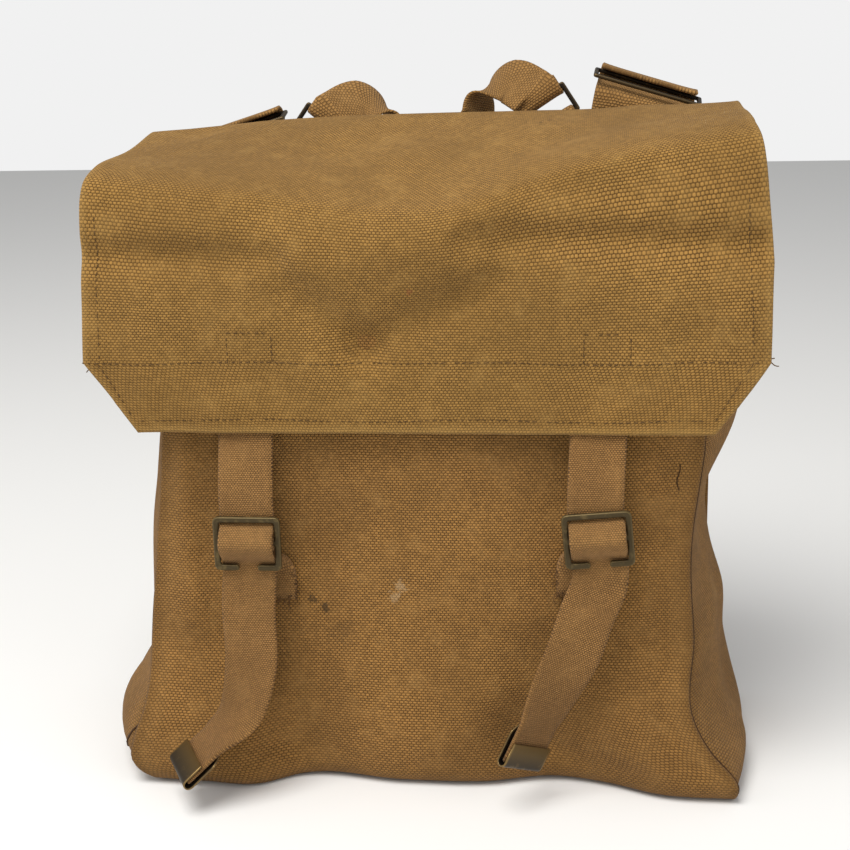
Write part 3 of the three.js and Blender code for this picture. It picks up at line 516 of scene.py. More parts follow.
def make_gusset(side, grid, normals, material):
    rows = FRONT_ROWS + ROUND_ROWS
    edge = 0 if side == "left" else -1
    last = len(grid) - 2
    seat = grid[:, edge] - normals[:, edge] * (CANVAS_WALL + GUSSET_GAP)
    front, back = seat[: rows + 1], seat[last - rows : last + 1][::-1]
    share = np.linspace(0, 1, GUSSET_COLUMNS + 1)
    outer = front[:, None] + (back - front)[:, None] * share[None, :, None]
    z = front[:, 2]
    swell = GUSSET_SWELL * hermite(SWELL_HEIGHTS, SWELL[side], z / FRONT_HEIGHT)
    swell = np.maximum(swell, 0)
    swell[-1] = 0
    bulge = np.sin(math.pi * share) ** 0.7
    dent = 1 - 0.16 * np.exp(-(((share - 0.5) / 0.12) ** 2))
    outer[..., 0] += SIGN[side] * swell[:, None] * (bulge * dent)[None]
    wave = ripple(share[None] * BODY_DEPTH, z[:, None], 11 if side == "left" else 12, 55)
    outer[..., 0] += SIGN[side] * 1.1 * wave * np.sin(math.pi * share)[None] * smooth(0, 30, z)[:, None]
    if side == "left":
        outer = outer[:, ::-1]
    run = lengths(outer[:, GUSSET_COLUMNS // 2])
    uv = weave_places(np.linspace(0, BODY_DEPTH, GUSSET_COLUMNS + 1)[None], -run[:, None])
    height = outer[..., 2]
    # Darker towards the bottom, and painted shade near the front and back edges, where the gusset meets the
    # panel.
    seam = np.broadcast_to(1 - np.sin(math.pi * share) ** 0.5, height.shape)
    fields = {"soil_and_shade": np.clip(0.6 * np.exp(-height / 25) + 0.5 * seam, 0, 1), "wear": np.zeros_like(height)}
    return sheet_piece("canvas_gusset_" + side, outer, CANVAS_WALL, uv, material, fields=fields)


# Flap

FLAP_COLUMNS = 180
FLAP_STEPS = (5, 5, 8, 14, 14, 20, 24, 24, 26)


def flap_grid():
    across = np.linspace(-1, 1, FLAP_COLUMNS + 1)
    half = across * FLAP_WIDTH / 2
    rear_y = HALF_DEPTH + SEAM_GAP + CANVAS_WALL

    def width(left, right):
        return half * half_at(across, left, right)

    def row(x, y, z):
        return np.stack([x, np.full_like(half, y), np.full_like(half, z)], -1)

    keys = [row(width(0.89, 0.89), rear_y, BACK_HEIGHT - FLAP_OVERLAP)]
    for forward, left, right, heights in FLAP_SECTIONS:
        behind = SEAM_GAP + CANVAS_WALL if forward < 0 else 0
        y = min(rear_y, -forward * HALF_DEPTH + behind)
        z = hermite(np.linspace(-1, 1, 5), heights, across) * FLAP_HEIGHT
        keys.append(row(width(left, right), y, z))
    hem_y = -HALF_DEPTH - FLAP_STAND_OFF
    keys.append(row(half + HEM_SHIFT, hem_y + 1, HEM_HEIGHT + CORNER_CUT_UP))
    keys.append(row(half + HEM_SHIFT - across * CORNER_CUT_ACROSS, hem_y, HEM_HEIGHT))
    keys = np.array(keys)
    grid, place = spline(keys, FLAP_STEPS)
    low = np.clip(place.astype(int), 0, len(keys) - 2)
    share = (place - low)[:, None]
    grid[..., 0] = keys[low][..., 0] * (1 - share) + keys[low + 1][..., 0] * share
    return grid


def shape_flap(grid):
    x, y, z = grid[..., 0], grid[..., 1], grid[..., 2]
    front = smooth(0, HALF_DEPTH, -y)
    up = z - HEM_HEIGHT
    drop = FLAP_HEIGHT - HEM_HEIGHT
    push = fold_push(FLAP_FOLDS, x, up, FLAP_WIDTH / 2, drop)
    grid[..., 1] -= front * FOLD_DEPTH * push
    grid[..., 1] -= front * 0.8 * ripple(x, z, 21, 46)
    grid[..., 2] += (1 - front) * 0.9 * ripple(x, y, 22, 50) * smooth(HALF_DEPTH, HALF_DEPTH - 12, y)
    return grid


def make_flap(material):
    grid = shape_flap(flap_grid())
    normals = grid_normals(grid)
    run = lengths(grid[:, FLAP_COLUMNS // 2])
    diagonals = grid[1:, 1:] - grid[:-1, :-1], grid[1:, :-1] - grid[:-1, 1:]
    area = float(np.linalg.norm(np.cross(*diagonals), axis=-1).sum()) / 2 * MM * MM
    from_hem = run[-1] - run
    lift = 0.35 * smooth(15, 13, from_hem)[:, None] * np.ones(FLAP_COLUMNS + 1)[None]
    grid = grid + normals * lift[..., None]
    flat_x = np.linspace(-FLAP_WIDTH / 2, FLAP_WIDTH / 2, FLAP_COLUMNS + 1)
    uv = weave_places(flat_x[None], -run[:, None])
    edge = np.abs(np.linspace(-1, 1, FLAP_COLUMNS + 1))[None] * np.ones_like(run)[:, None]
    wear = np.maximum(smooth(0.975, 1.0, edge), smooth(5, 0, from_hem)[:, None])
    soil_and_shade = 0.25 * smooth(60, 0, from_hem)[:, None] * np.ones_like(edge)
    piece = sheet_piece("canvas_flap", grid, CANVAS_WALL, uv, material, fields={"soil_and_shade": soil_and_shade, "wear": wear})
    return piece, float(run[-1]), min(area, FLAP_WIDTH * run[-1] * MM * MM)


# Materials

class Tree:
    """A short hand for making the nodes of a material or a group."""

    def __init__(self, tree):
        self.tree = tree

    def node(self, kind, **values):
        node = self.tree.nodes.new(kind)
        for key, value in values.items():
            setattr(node, key, value)
        return node

    def put(self, socket, value):
        if isinstance(value, bpy.types.NodeSocket):
            self.tree.links.new(value, socket)
        elif value is not None:
            socket.default_value = value

    def math(self, operation, a, b=None, clamp=False):
        node = self.node("ShaderNodeMath", operation=operation, use_clamp=clamp)
        self.put(node.inputs[0], a)
        if b is not None:
            self.put(node.inputs[1], b)
        return node.outputs[0]

    def mix(self, factor, a, b, blend="MIX"):
        node = self.node("ShaderNodeMix", data_type="RGBA", blend_type=blend)
        self.put(node.inputs[0], factor)
        self.put(node.inputs[6], a)
        self.put(node.inputs[7], b)
        return node.outputs[2]

    def noise(self, vector, scale, detail=3.0, rough=0.55, color=False):
        node = self.node("ShaderNodeTexNoise")
        self.put(node.inputs["Vector"], vector)
        self.put(node.inputs["Scale"], scale)
        self.put(node.inputs["Detail"], detail)
        self.put(node.inputs["Roughness"], rough)
        return node.outputs["Color" if color else "Fac"]

    def ramp(self, value, low, high, to_low=0.0, to_high=1.0):
        node = self.node("ShaderNodeMapRange", interpolation_type="SMOOTHSTEP")
        for socket, number in zip(node.inputs[:5], (value, low, high, to_low, to_high)):
            self.put(socket, number)
        return node.outputs[0]

    def scaled(self, vector, x, y, z=1.0):
        node = self.node("ShaderNodeVectorMath", operation="MULTIPLY")
        self.put(node.inputs[0], vector)
        node.inputs[1].default_value = (x, y, z)
        return node.outputs[0]

    def apart(self, vector):
        node = self.node("ShaderNodeSeparateXYZ")
        self.put(node.inputs[0], vector)
        return node.outputs

    def joined(self, x, y, z=0.0):
        node = self.node("ShaderNodeCombineXYZ")
        for socket, value in zip(node.inputs, (x, y, z)):
            self.put(socket, value)
        return node.outputs[0]


def new_group(name, inputs, outputs):
    group = bpy.data.node_groups.new(name, "ShaderNodeTree")
    for label, kind, value in inputs:
        socket = group.interface.new_socket(label, in_out="INPUT", socket_type=kind)
        if value is not None:
            socket.default_value = value
    for label, kind in outputs:
        group.interface.new_socket(label, in_out="OUTPUT", socket_type=kind)
    tree = Tree(group)
    given = tree.node("NodeGroupInput").outputs
    wanted = tree.node("NodeGroupOutput").inputs
    return group, tree, given, wanted


def weave_group():
    """Plain weave from places in metres on the cloth: its height, and a shade that differs by thread."""
    group, t, given, wanted = new_group(
        "plain_weave",
        [
            ("Place", "NodeSocketVector", None),
            ("Across mm", "NodeSocketFloat", 1.95),
            ("Along mm", "NodeSocketFloat", 1.25),
            ("Uneven mm", "NodeSocketFloat", 0.3),
        ],
        [("Height", "NodeSocketFloat"), ("Thread", "NodeSocketFloat")],
    )
    place = t.scaled(given["Place"], 1000, 1000, 0)
    wander = t.node("ShaderNodeVectorMath", operation="SUBTRACT")
    t.put(wander.inputs[0], t.noise(place, 0.12, 2.0, 0.5, color=True))
    wander.inputs[1].default_value = (0.5, 0.5, 0.5)
    shift = t.node("ShaderNodeVectorMath", operation="SCALE")
    t.put(shift.inputs[0], wander.outputs[0])
    t.put(shift.inputs["Scale"], t.math("MULTIPLY", given["Uneven mm"], 3.0))
    moved = t.node("ShaderNodeVectorMath", operation="ADD")
    t.put(moved.inputs[0], place)
    t.put(moved.inputs[1], shift.outputs[0])
    x, y, _ = t.apart(moved.outputs[0])
    v = t.math("DIVIDE", y, given["Along mm"])
    row = t.math("FLOOR", v)
    u = t.math("ADD", t.math("DIVIDE", x, given["Across mm"]), t.math("MULTIPLY", row, 0.5))
    over = t.math("POWER", t.math("ABSOLUTE", t.math("SINE", t.math("MULTIPLY", u, math.pi))), 0.6)
    under = t.math("POWER", t.math("ABSOLUTE", t.math("SINE", t.math("MULTIPLY", v, math.pi))), 0.6)
    height = t.math("MULTIPLY", over, under)
    white = t.node("ShaderNodeTexWhiteNoise", noise_dimensions="2D")
    t.put(white.inputs["Vector"], t.joined(t.math("FLOOR", u), row))
    t.put(wanted["Height"], height)
    t.put(wanted["Thread"], white.outputs["Value"])
    return group


def soil_group():
    """Blotches and fading from places in metres: one large, one small, and specks."""
    group, t, given, wanted = new_group(
        "blotches",
        [("Place", "NodeSocketVector", None)],
        [("Large", "NodeSocketFloat"), ("Small", "NodeSocketFloat"), ("Specks", "NodeSocketFloat")],
    )
    t.put(wanted["Large"], t.noise(given["Place"], 14.0, 3.0, 0.6))
    t.put(wanted["Small"], t.noise(given["Place"], 70.0, 4.0, 0.65))
    t.put(wanted["Specks"], t.ramp(t.noise(given["Place"], 260.0, 2.0, 0.5), 0.70, 0.78))
    return group


def use_group(t, group, **values):
    node = t.node("ShaderNodeGroup", node_tree=group)
    for key, value in values.items():
        t.put(node.inputs[key.replace("_", " ")], value)
    return node.outputs


def new_material(name):
    material = bpy.data.materials.new(name)
    material.use_nodes = True
    material.node_tree.nodes.clear()
    t = Tree(material.node_tree)
    shader = t.node("ShaderNodeBsdfPrincipled")
    out = t.node("ShaderNodeOutputMaterial")
    t.put(out.inputs["Surface"], shader.outputs[0])
    return material, t, shader


def cloth_material(name, crown, pit_shade, soiled_and_shaded, faded, across, along, weave, blotches, depth=0.35, spots=()):
    """Woven cloth: colours of a thread's crown, of the painted shade in the pits between threads, of soil and
    painted shade, and of faded cloth.
    """
    material, t, shader = new_material(name)
    uv = t.node("ShaderNodeUVMap", uv_map="weave").outputs[0]
    place = t.node("ShaderNodeNewGeometry").outputs["Position"]
    threads = use_group(t, weave, Place=uv, Across_mm=across, Along_mm=along, Uneven_mm=0.3)
    blots = use_group(t, blotches, Place=place)
    soil_and_shade = t.node("ShaderNodeAttribute", attribute_name="soil_and_shade").outputs["Fac"]
    wear = t.node("ShaderNodeAttribute", attribute_name="wear").outputs["Fac"]
    crowned = t.ramp(threads["Height"], 0.1, 0.8)
    uneven = t.math("MULTIPLY", t.ramp(blots["Small"], 0.35, 0.65), 0.35)
    # The pits between threads take the darker colour: painted shade of the weave.
    color = t.mix(t.math("MAXIMUM", crowned, uneven), pit_shade, crown)
    slubs = t.noise(t.scaled(uv, 300.0, 1400.0), 1.0, 2.0)
    shades = t.math("ADD", t.math("MULTIPLY", threads["Thread"], 0.3), t.math("MULTIPLY", slubs, 0.26))
    tone = t.math("ADD", 0.78, shades)
    color = t.mix(1.0, color, t.joined(tone, tone, tone), "MULTIPLY")
    large = t.ramp(blots["Large"], 0.38, 0.64)
    color = t.mix(t.math("MULTIPLY", large, 0.35), color, soiled_and_shaded)
    color = t.mix(t.math("MULTIPLY", t.ramp(blots["Small"], 0.5, 0.75), 0.22), color, faded)
    # Darkening from the attribute that each piece sets: painted shade along the body's seams, and elsewhere
    # darker towards the bottom, the hem or the ends.
    color = t.mix(t.math("MULTIPLY", soil_and_shade, 0.6), color, soiled_and_shaded)
    color = t.mix(t.math("MULTIPLY", wear, 0.35), color, faded)
    for centre, size, tint, strength in spots:
        away = t.node("ShaderNodeVectorMath", operation="DISTANCE")
        t.put(away.inputs[0], place)
        away.inputs[1].default_value = centre
        torn = t.noise(place, 330.0, 3.0, 0.6)
        wander = t.math("MULTIPLY", t.math("SUBTRACT", torn, 0.5), size * 3.4)
        ragged = t.math("ADD", away.outputs["Value"], wander)
        near = t.ramp(ragged, size, size * 0.5)
        color = t.mix(t.math("MULTIPLY", near, strength), color, tint)
    t.put(shader.inputs["Base Color"], color)
    shader.inputs["Roughness"].default_value = 0.93
    shader.inputs["Specular IOR Level"].default_value = 0.12
    shader.inputs["Sheen Weight"].default_value = 0.05
    shader.inputs["Sheen Roughness"].default_value = 0.6
    bump = t.node("ShaderNodeBump")
    bump.inputs["Strength"].default_value = 0.9
    bump.inputs["Distance"].default_value = depth * MM
    fuzz = t.math("MULTIPLY", t.noise(place, 900.0, 2.0), 0.3)
    t.put(bump.inputs["Height"], t.math("ADD", threads["Height"], fuzz))
    t.put(shader.inputs["Normal"], bump.outputs[0])
    return material


def metal_material(name, dark, bright, rough, shine):
    """Tarnished brass, brighter where it has been rubbed."""
    material, t, shader = new_material(name)
    place = t.node("ShaderNodeNewGeometry")
    worn = t.ramp(place.outputs["Pointiness"], 0.51, 0.6)
    patches = t.ramp(t.noise(place.outputs["Position"], 190.0, 4.0, 0.6), 0.5, 0.68)
    rubbed = t.math("MAXIMUM", t.math("MULTIPLY", worn, 0.85), t.math("MULTIPLY", patches, shine))
    t.put(shader.inputs["Base Color"], t.mix(rubbed, dark, bright))
    t.put(shader.inputs["Roughness"], t.math("SUBTRACT", rough, t.math("MULTIPLY", rubbed, 0.15)))
    shader.inputs["Metallic"].default_value = 0.75
    bump = t.node("ShaderNodeBump")
    bump.inputs["Strength"].default_value = 0.3
    bump.inputs["Distance"].default_value = 0.1 * MM
    t.put(bump.inputs["Height"], t.noise(place.outputs["Position"], 800.0, 3.0))
    t.put(shader.inputs["Normal"], bump.outputs[0])
    return material


def rgb(r, g, b):
    """A colour from 0 to 255 as a render colour."""
    shares = [c / 255 for c in (r, g, b)]
    return tuple(((c + 0.055) / 1.055) ** 2.4 if c > 0.04 else c / 12.92 for c in shares) + (1.0,)


weave = weave_group()
blotches = soil_group()
# Each cloth's second colour is painted shade for the pits of its weave; its third colour serves both soil and
# painted shade.
flap_cloth = cloth_material(
    "canvas_flap_cloth", rgb(152, 115, 59), rgb(78, 53, 22), rgb(110, 81, 38), rgb(168, 133, 76),
    1.95, 1.25, weave, blotches, depth=0.4,
    spots=[
        ((0.0546, 0.020, 0.3136), 0.0035, rgb(52, 36, 20), 0.85),
        ((-0.0037, -0.066, 0.2486), 0.0018, rgb(128, 76, 42), 0.5),
        ((0.092, 0.020, 0.3112), 0.003, rgb(124, 76, 42), 0.6),
        ((0.118, 0.0, 0.309), 0.002, rgb(124, 76, 42), 0.6),
    ],
)
body_cloth = cloth_material(
    "canvas_body_cloth", rgb(153, 112, 59), rgb(72, 48, 21), rgb(97, 69, 34), rgb(164, 127, 76),
    1.95, 1.25, weave, blotches, depth=0.4,
    spots=[
        ((0.1106, -0.070, 0.0556), 0.0032, rgb(84, 46, 22), 0.75),
        ((-0.0130, -0.057, 0.1020), 0.0040, rgb(186, 158, 120), 0.42),
        ((-0.0170, -0.057, 0.0965), 0.0034, rgb(186, 158, 120), 0.36),
        ((-0.0510, -0.057, 0.0901), 0.0026, rgb(62, 48, 30), 0.7),
        ((-0.0573, -0.057, 0.0942), 0.0024, rgb(62, 48, 30), 0.7),
        ((-0.0430, -0.058, 0.0780), 0.0070, rgb(92, 68, 38), 0.35),
    ],
)
strap_web = cloth_material(
    "closing_strap_web", rgb(154, 114, 65), rgb(60, 39, 20), rgb(106, 76, 43), rgb(158, 121, 74),
    1.3, 0.9, weave, blotches, depth=0.35,
)
loop_web = cloth_material(
    "loop_web", rgb(156, 117, 66), rgb(78, 54, 26), rgb(112, 82, 44), rgb(166, 130, 82),
    1.75, 1.2, weave, blotches, depth=0.45,
)
thread_cotton = cloth_material(
    "sewing_thread", rgb(104, 78, 42), rgb(72, 52, 28), rgb(80, 58, 30), rgb(126, 98, 58),
    0.5, 0.5, weave, blotches, depth=0.1,
)
# Dark thread for the torn thread, also laid along the seams as painted shade of their grooves.
dark_thread_and_seam_shade = cloth_material(
    "dark_thread_and_seam_shade", rgb(78, 50, 24), rgb(54, 34, 16), rgb(58, 38, 18), rgb(92, 62, 32),
    0.5, 0.5, weave, blotches, depth=0.1,
)
dull_brass = metal_material("dull_brass", rgb(70, 59, 38), rgb(140, 120, 76), 0.5, 0.3)
dark_brass = metal_material("dark_brass", rgb(44, 38, 31), rgb(140, 114, 68), 0.5, 0.28)


# Metal pieces

def rounded(corners, radius, steps=4):
    """A closed outline with its corners rounded."""
    out = []
    n = len(corners)
    for k in range(n):
        here = np.array(corners[k], float)
        to_last = np.array(corners[k - 1], float) - here
        to_next = np.array(corners[(k + 1) % n], float) - here
        r = radius[k] if hasattr(radius, "__len__") else radius
        a = here + to_last / np.linalg.norm(to_last) * r
        b = here + to_next / np.linalg.norm(to_next) * r
        for s in range(steps + 1):
            t = s / steps
            out.append((1 - t) ** 2 * a + 2 * t * (1 - t) * here + t * t * b)
    return np.array(out)


def plate_piece(name, outlines, thick, bevel, material, place):
    """A flat plate with rounded edges, from a filled outline and its holes, put where place says."""
    curve = bpy.data.curves.new(name, "CURVE")
    curve.dimensions = "2D"
    curve.fill_mode = "BOTH"
    for outline in outlines:
        line = curve.splines.new("POLY")
        line.points.add(len(outline) - 1)
        line.use_cyclic_u = True
        for point, (x, y) in zip(line.points, outline):
            point.co = (x * MM, y * MM, 0, 1)
    curve.extrude = (thick / 2 - bevel) * MM
    curve.bevel_depth = bevel * MM
    curve.bevel_resolution = 3
    curve.offset = -bevel * MM
    drawn = linked(name + "_outline", curve)
    bpy.context.view_layer.update()
    mesh = bpy.data.meshes.new_from_object(drawn.evaluated_get(bpy.context.evaluated_depsgraph_get()))
    bpy.data.objects.remove(drawn)
    mesh.name = name
    mesh.transform(place)
    mesh.materials.clear()
    mesh.materials.append(material)
    mesh.shade_smooth()
    piece = linked(name, mesh)
    crease = piece.modifiers.new("edges", "EDGE_SPLIT")
    crease.split_angle = math.radians(50)
    return piece


def place_of(origin, x_axis, y_axis):
    x, y = Vector(x_axis).normalized(), Vector(y_axis).normalized()
    z = x.cross(y)
    turn = Matrix((x, y, z)).transposed().to_4x4()
    return Matrix.Translation(Vector(origin) * MM) @ turn


def strap_buckle(side):
    w, h, rail = 16.25, 13.5, 3.0
    bar_top, bar_low, mouth = 0.5 + 1.3, 0.5 - 1.3, 4.5
    outline = [
        (mouth, -h), (w, -h), (w, h), (-w, h), (-w, -h), (-mouth, -h), (-mouth, -h + rail),
        (-w + rail, -h + rail), (-w + rail, bar_low), (w - rail, bar_low), (w - rail, -h + rail),
        (mouth, -h + rail),
    ]
    radii = [1.3, 3.2, 3.2, 3.2, 3.2, 1.3, 1.3, 1.0, 0.8, 0.8, 1.0, 1.3]
    slot = [(-w + rail, bar_top), (w - rail, bar_top), (w - rail, h - rail), (-w + rail, h - rail)]
    middle, roll = BUCKLE[side]
    a = math.radians(roll)
    place = place_of(middle, (math.cos(a), 0, math.sin(a)), (-math.sin(a), 0, math.cos(a)))
    outlines = [rounded(outline, radii), rounded(slot, 1.0)]
    piece = plate_piece("brass_strap_buckle_" + side, outlines, 2.4, 0.9, dull_brass, place)
    return finished(piece, "strap_buckle_" + side)


def frame_piece(node, length, height, bar, thick, place):
    """A plain oblong buckle without a tongue."""
    w, h = length / 2, height / 2
    outer = [(-w, -h), (w, -h), (w, h), (-w, h)]
    inner = [(x * (w - bar) / w, y * (h - bar) / h) for x, y in outer]
    outlines = [rounded(outer, 1.6), rounded(inner, 0.8)]
    piece = plate_piece("brass_" + node, outlines, thick, 0.8, dark_brass, place)
    return finished(piece, node)


# Webs

def arc(middle, radius, start, end, steps, first, second):
    """Points round a rail: from start to end in degrees, in the plane of two directions."""
    angles = np.radians(np.linspace(start, end, steps + 1))
    middle, first, second = (np.asarray(v, float) for v in (middle, first, second))
    return middle + radius * (np.cos(angles)[:, None] * first + np.sin(angles)[:, None] * second)


def strap_line(side):
    points, across = web_keys(STRAP_KEYS[side], 6)
    along, crossways, _ = web_frames(points, across)
    length = TIP_LENGTH + TIP_POINT
    tail = points[-1] + along[-1] * np.linspace(0, length, 7)[1:, None]
    points = np.concatenate([points, tail])
    across = np.concatenate([across, np.repeat(crossways[-1:], 6, axis=0)])
    return points, across


def make_strap(side):
    points, across = strap_line(side)
    run = lengths(points)
    rub = 0.5 * np.exp(-(((points[:, 2] - BUCKLE[side][0][2]) / 14) ** 2))
    grime = 0.2 + 0.5 * smooth(run[-1] - 50, run[-1], run)
    fields = {"soil_and_shade": grime, "wear": rub}
    fields = {label: np.repeat(line[:, None], STRAP_COLUMNS + 1, axis=1) for label, line in fields.items()}
    name = "closing_strap_" + side
    piece = web_piece("web_" + name, points, across, STRAP_WIDTH, strap_web, STRAP_COLUMNS, fields)
    return finished(piece, name)


def make_tip(side):
    """The folded tip: two spade points on the front, over the end and up the back."""
    points, across = strap_line(side)
    along, crossways, face = web_frames(points, across)
    run = along[-1]
    radius = WEB_WALL / 2 + SEAM_GAP + METAL_WALL
    share = np.linspace(-1, 1, 41)
    spade = TIP_POINT * (1 - np.abs(2 * np.abs(share) - 1) ** 1.5)
    lines = []
    for t in np.linspace(0, 1, 9):
        lines.append((-(TIP_LENGTH + spade) * (1 - t), np.full_like(share, radius)))
    for a in np.radians(np.linspace(80, -90, 10)):
        past = np.full_like(share, SEAM_GAP + radius * math.cos(a))
        lines.append((past, np.full_like(share, radius * math.sin(a))))
    lines.append((np.full_like(share, -TIP_LENGTH * 0.7), np.full_like(share, -radius)))
    runs = lengths(points)

    def row(d, o):
        def pick(values):
            places = runs[-1] + np.minimum(d, 0)
            return np.stack([np.interp(places, runs, values[:, k]) for k in range(3)], -1)

        middle = pick(points) + run * np.maximum(d, 0)[:, None]
        sideways = unit(pick(crossways)) * (share * TIP_WIDTH / 2)[:, None]
        return middle + unit(pick(face)) * o[:, None] + sideways

    grid = np.stack([row(d, o) for d, o in lines])
    uv = weave_places(share[None] * TIP_WIDTH / 2, np.array([d for d, _ in lines]))
    piece = sheet_piece("brass_strap_tip_" + side, grid, METAL_WALL, uv, dark_brass)
    return finished(piece, "strap_tip_" + side)


def tab_line(side):
    bar = np.array(BAR[side])
    skew = -SIGN[side] * TAB_SKEW
    roll = math.radians(BUCKLE[side][1])
    level = np.array([math.cos(roll), 0, math.sin(roll)])
    places = [(bar[1], bar[2], 0.0)]
    for back, down, share in TAB_RUN:
        places.append((bar[1] + back * (TAB_FAR - bar[1]), bar[2] - down * TAB_LENGTH, share))

    def layer(offset):
        out = []
        for k in range(1, len(places)):
            after = places[min(k + 1, len(places) - 1)]
            run = unit(np.array([after[0] - places[k - 1][0], after[1] - places[k - 1][1]]))
            y, z, share = places[k]
            point = (bar[0] + skew * share, y + offset * run[1], z - offset * run[0])
            out.append((point, tuple(level * (1 - share) + np.array([1, 0, 0]) * share)))
        return out

    half = (WEB_WALL + SEAM_GAP) / 2
    round_bar = arc(bar, TAB_RADIUS, -80, 155, 10, (0, -1, 0), (0, 0, 1))
    keys = layer(half)[::-1] + [(tuple(p), tuple(level)) for p in round_bar] + layer(-half)
    return web_keys(keys, 3)


def make_tab(side):
    points, across = tab_line(side)
    grime = np.full((len(points), STRAP_COLUMNS + 1), 0.35)
    fields = {"soil_and_shade": grime, "wear": grime * 0.5}
    name = "buckle_tab_" + side
    piece = web_piece("web_" + name, points, across, STRAP_WIDTH, strap_web, STRAP_COLUMNS, fields)
    return finished(piece, name)


def small_lines(side):
    """The long line of a small buckle and the line square to it."""
    a = math.radians(SMALL_BUCKLE[side][1])
    sign = SIGN[side]
    return np.array([sign * math.cos(a), 0, math.sin(a)]), np.array([-sign * math.sin(a), 0, math.cos(a)])


def round_small_rail(side, upper):
    """The last points of a web that goes round a rail of a small buckle, and the line across them."""
    long, square = small_lines(side)
    rail = np.array(SMALL_BUCKLE[side][0]) + square * SMALL_RAIL * upper
    wrap = arc(rail, SMALL_WRAP, 0, 180, 16, (0, -1, 0), -square * upper)
    tail = rail + np.array([0, SMALL_WRAP, 0]) + square * upper * np.linspace(0, SMALL_TAIL, 5)[1:, None]
    return np.concatenate([wrap, tail]), long


def back_web(node, points, across, nearest, width, columns, soil_and_shade):
    """A web behind the top edge: neither of its edges comes nearer to the flap than its foot."""
    points[:, 1] = np.maximum(points[:, 1], nearest)
    points[:, 1] = np.maximum(points[:, 1], nearest + np.abs(across[:, 1]) * STRAP_WIDTH / 2)
    grime = np.full((len(points), columns + 1), soil_and_shade)
    fields = {"soil_and_shade": grime, "wear": grime}
    piece = web_piece("web_" + node, points, across, width, loop_web, columns, fields)
    return finished(piece, node)


def make_loop(side):
    points, across = web_keys(LOOP_KEYS[side], 12)
    wrap, long = round_small_rail(side, 1)
    points = np.concatenate([points, wrap])
    across = np.concatenate([across, np.repeat([long], len(wrap), axis=0)])
    return back_web("top_loop_" + side, points, across, FOOT_Y, STRAP_WIDTH, 12, 0.15)


def make_small_chape(side):
    wrap, long = round_small_rail(side, -1)
    square = small_lines(side)[1]
    foot = wrap[0] - square * np.linspace(CHAPE_LENGTH, 0, 13)[:-1, None]
    points = np.concatenate([foot, wrap])
    across = np.repeat([long], len(points), axis=0)
    return back_web("small_chape_" + side, points, across, FOOT_Y, STRAP_WIDTH, 12, 0.2)


def wide_axes(side):
    """The long line of a wide buckle, its line to the back and its line up, once it is turned and tilted."""
    turn, tilt = math.radians(WIDE_TURN) * SIGN[side], math.radians(WIDE_TILT)
    level = np.array([math.cos(turn), 0, -math.sin(turn)])
    back = np.array([math.sin(tilt) * math.sin(turn), math.cos(tilt), math.sin(tilt) * math.cos(turn)])
    up = np.array([math.cos(tilt) * math.sin(turn), -math.sin(tilt), math.cos(tilt) * math.cos(turn)])
    return level, back, up


def make_wide_chape(side):
    level, back, up = wide_axes(side)
    middle = np.array(WIDE_MIDDLE[side])
    foot_x, low, top = WIDE_FOOT[side]
    under = 2.45

    def at(y, rise):
        return tuple(middle + back * y + up * rise)

    flat = (1.0, 0.0, 0.0)
    keys = [
        ((foot_x, WIDE_FOOT_Y, low), flat),
        ((foot_x, WIDE_FOOT_Y, top), flat),
        (at(-WIDE_RAIL - 0.5, -under - 4), tuple(level)),
        (at(0, -under - 1), tuple(level)),
        (at(WIDE_RAIL - WEB_WALL / 2, -WIDE_WRAP - 0.15), tuple(level)),
    ]
    points, across = web_keys(keys, 10)
    turn = arc(at(WIDE_RAIL, 0), WIDE_WRAP, -60, 90, 14, back, up)
    tail = [at(3.5, WIDE_WRAP + 0.2), at(0, WIDE_WRAP + 0.5)]
    points = np.concatenate([points, turn, tail])
    across = np.concatenate([across, np.repeat([level], len(turn) + 2, axis=0)])
    return back_web("wide_chape_" + side, points, across, WIDE_FOOT_Y, WIDE_WIDTH, 18, 0.15)


def rear_buckles(side):
    long, square = small_lines(side)
    place = place_of(SMALL_BUCKLE[side][0], tuple(long), tuple(square))
    frame_piece("small_buckle_" + side, length=31.0, height=17.0, bar=2.4, thick=2.4, place=place)
    level, back, _ = wide_axes(side)
    place = place_of(WIDE_MIDDLE[side], tuple(level), tuple(back))
    frame_piece("wide_buckle_" + side, length=57.0, height=17.0, bar=2.4, thick=2.0, place=place)


# Stitches and loose threads

# A stitch along its length: the share, the lift and the thickness, in radii of the thread
STITCH_SHAPE = ((0.0, -0.5, 0.5), (0.15, 0.1, 1.0), (0.5, 0.35, 1.0), (0.85, 0.1, 1.0), (1.0, -0.5, 0.5))
STITCH_RADIUS, STITCH_LENGTH, STITCH_GAP = 0.24, 2.2, 1.1
STITCH_SIDES, THREAD_SIDES = 6, 5
# The boxes sewn over the ends of the straps: their middles, half width and height above the long row
BOX_MIDDLES, BOX_HALF, BOX_RISE = (-79.7, 85.2), 10.5, 14


def ring(centre, radius, first, second, sides):
    angles = [math.tau * k / sides for k in range(sides)]
    return [centre + radius * (math.cos(a) * first + math.sin(a) * second) for a in angles]


def add_tube(verts, faces, rings):
    """A closed tube of thread through rings of points, added to lists of points and faces."""
    base, sides = len(verts), len(rings[0])
    for points in rings:
        verts.extend(points)
    for step in range(len(rings) - 1):
        for k in range(sides):
            a, b = base + step * sides + k, base + step * sides + (k + 1) % sides
            faces.append((a, b, b + sides, a + sides))
    faces.append(tuple(base + k for k in range(sides - 1, -1, -1)))
    faces.append(tuple(len(verts) - sides + k for k in range(sides)))


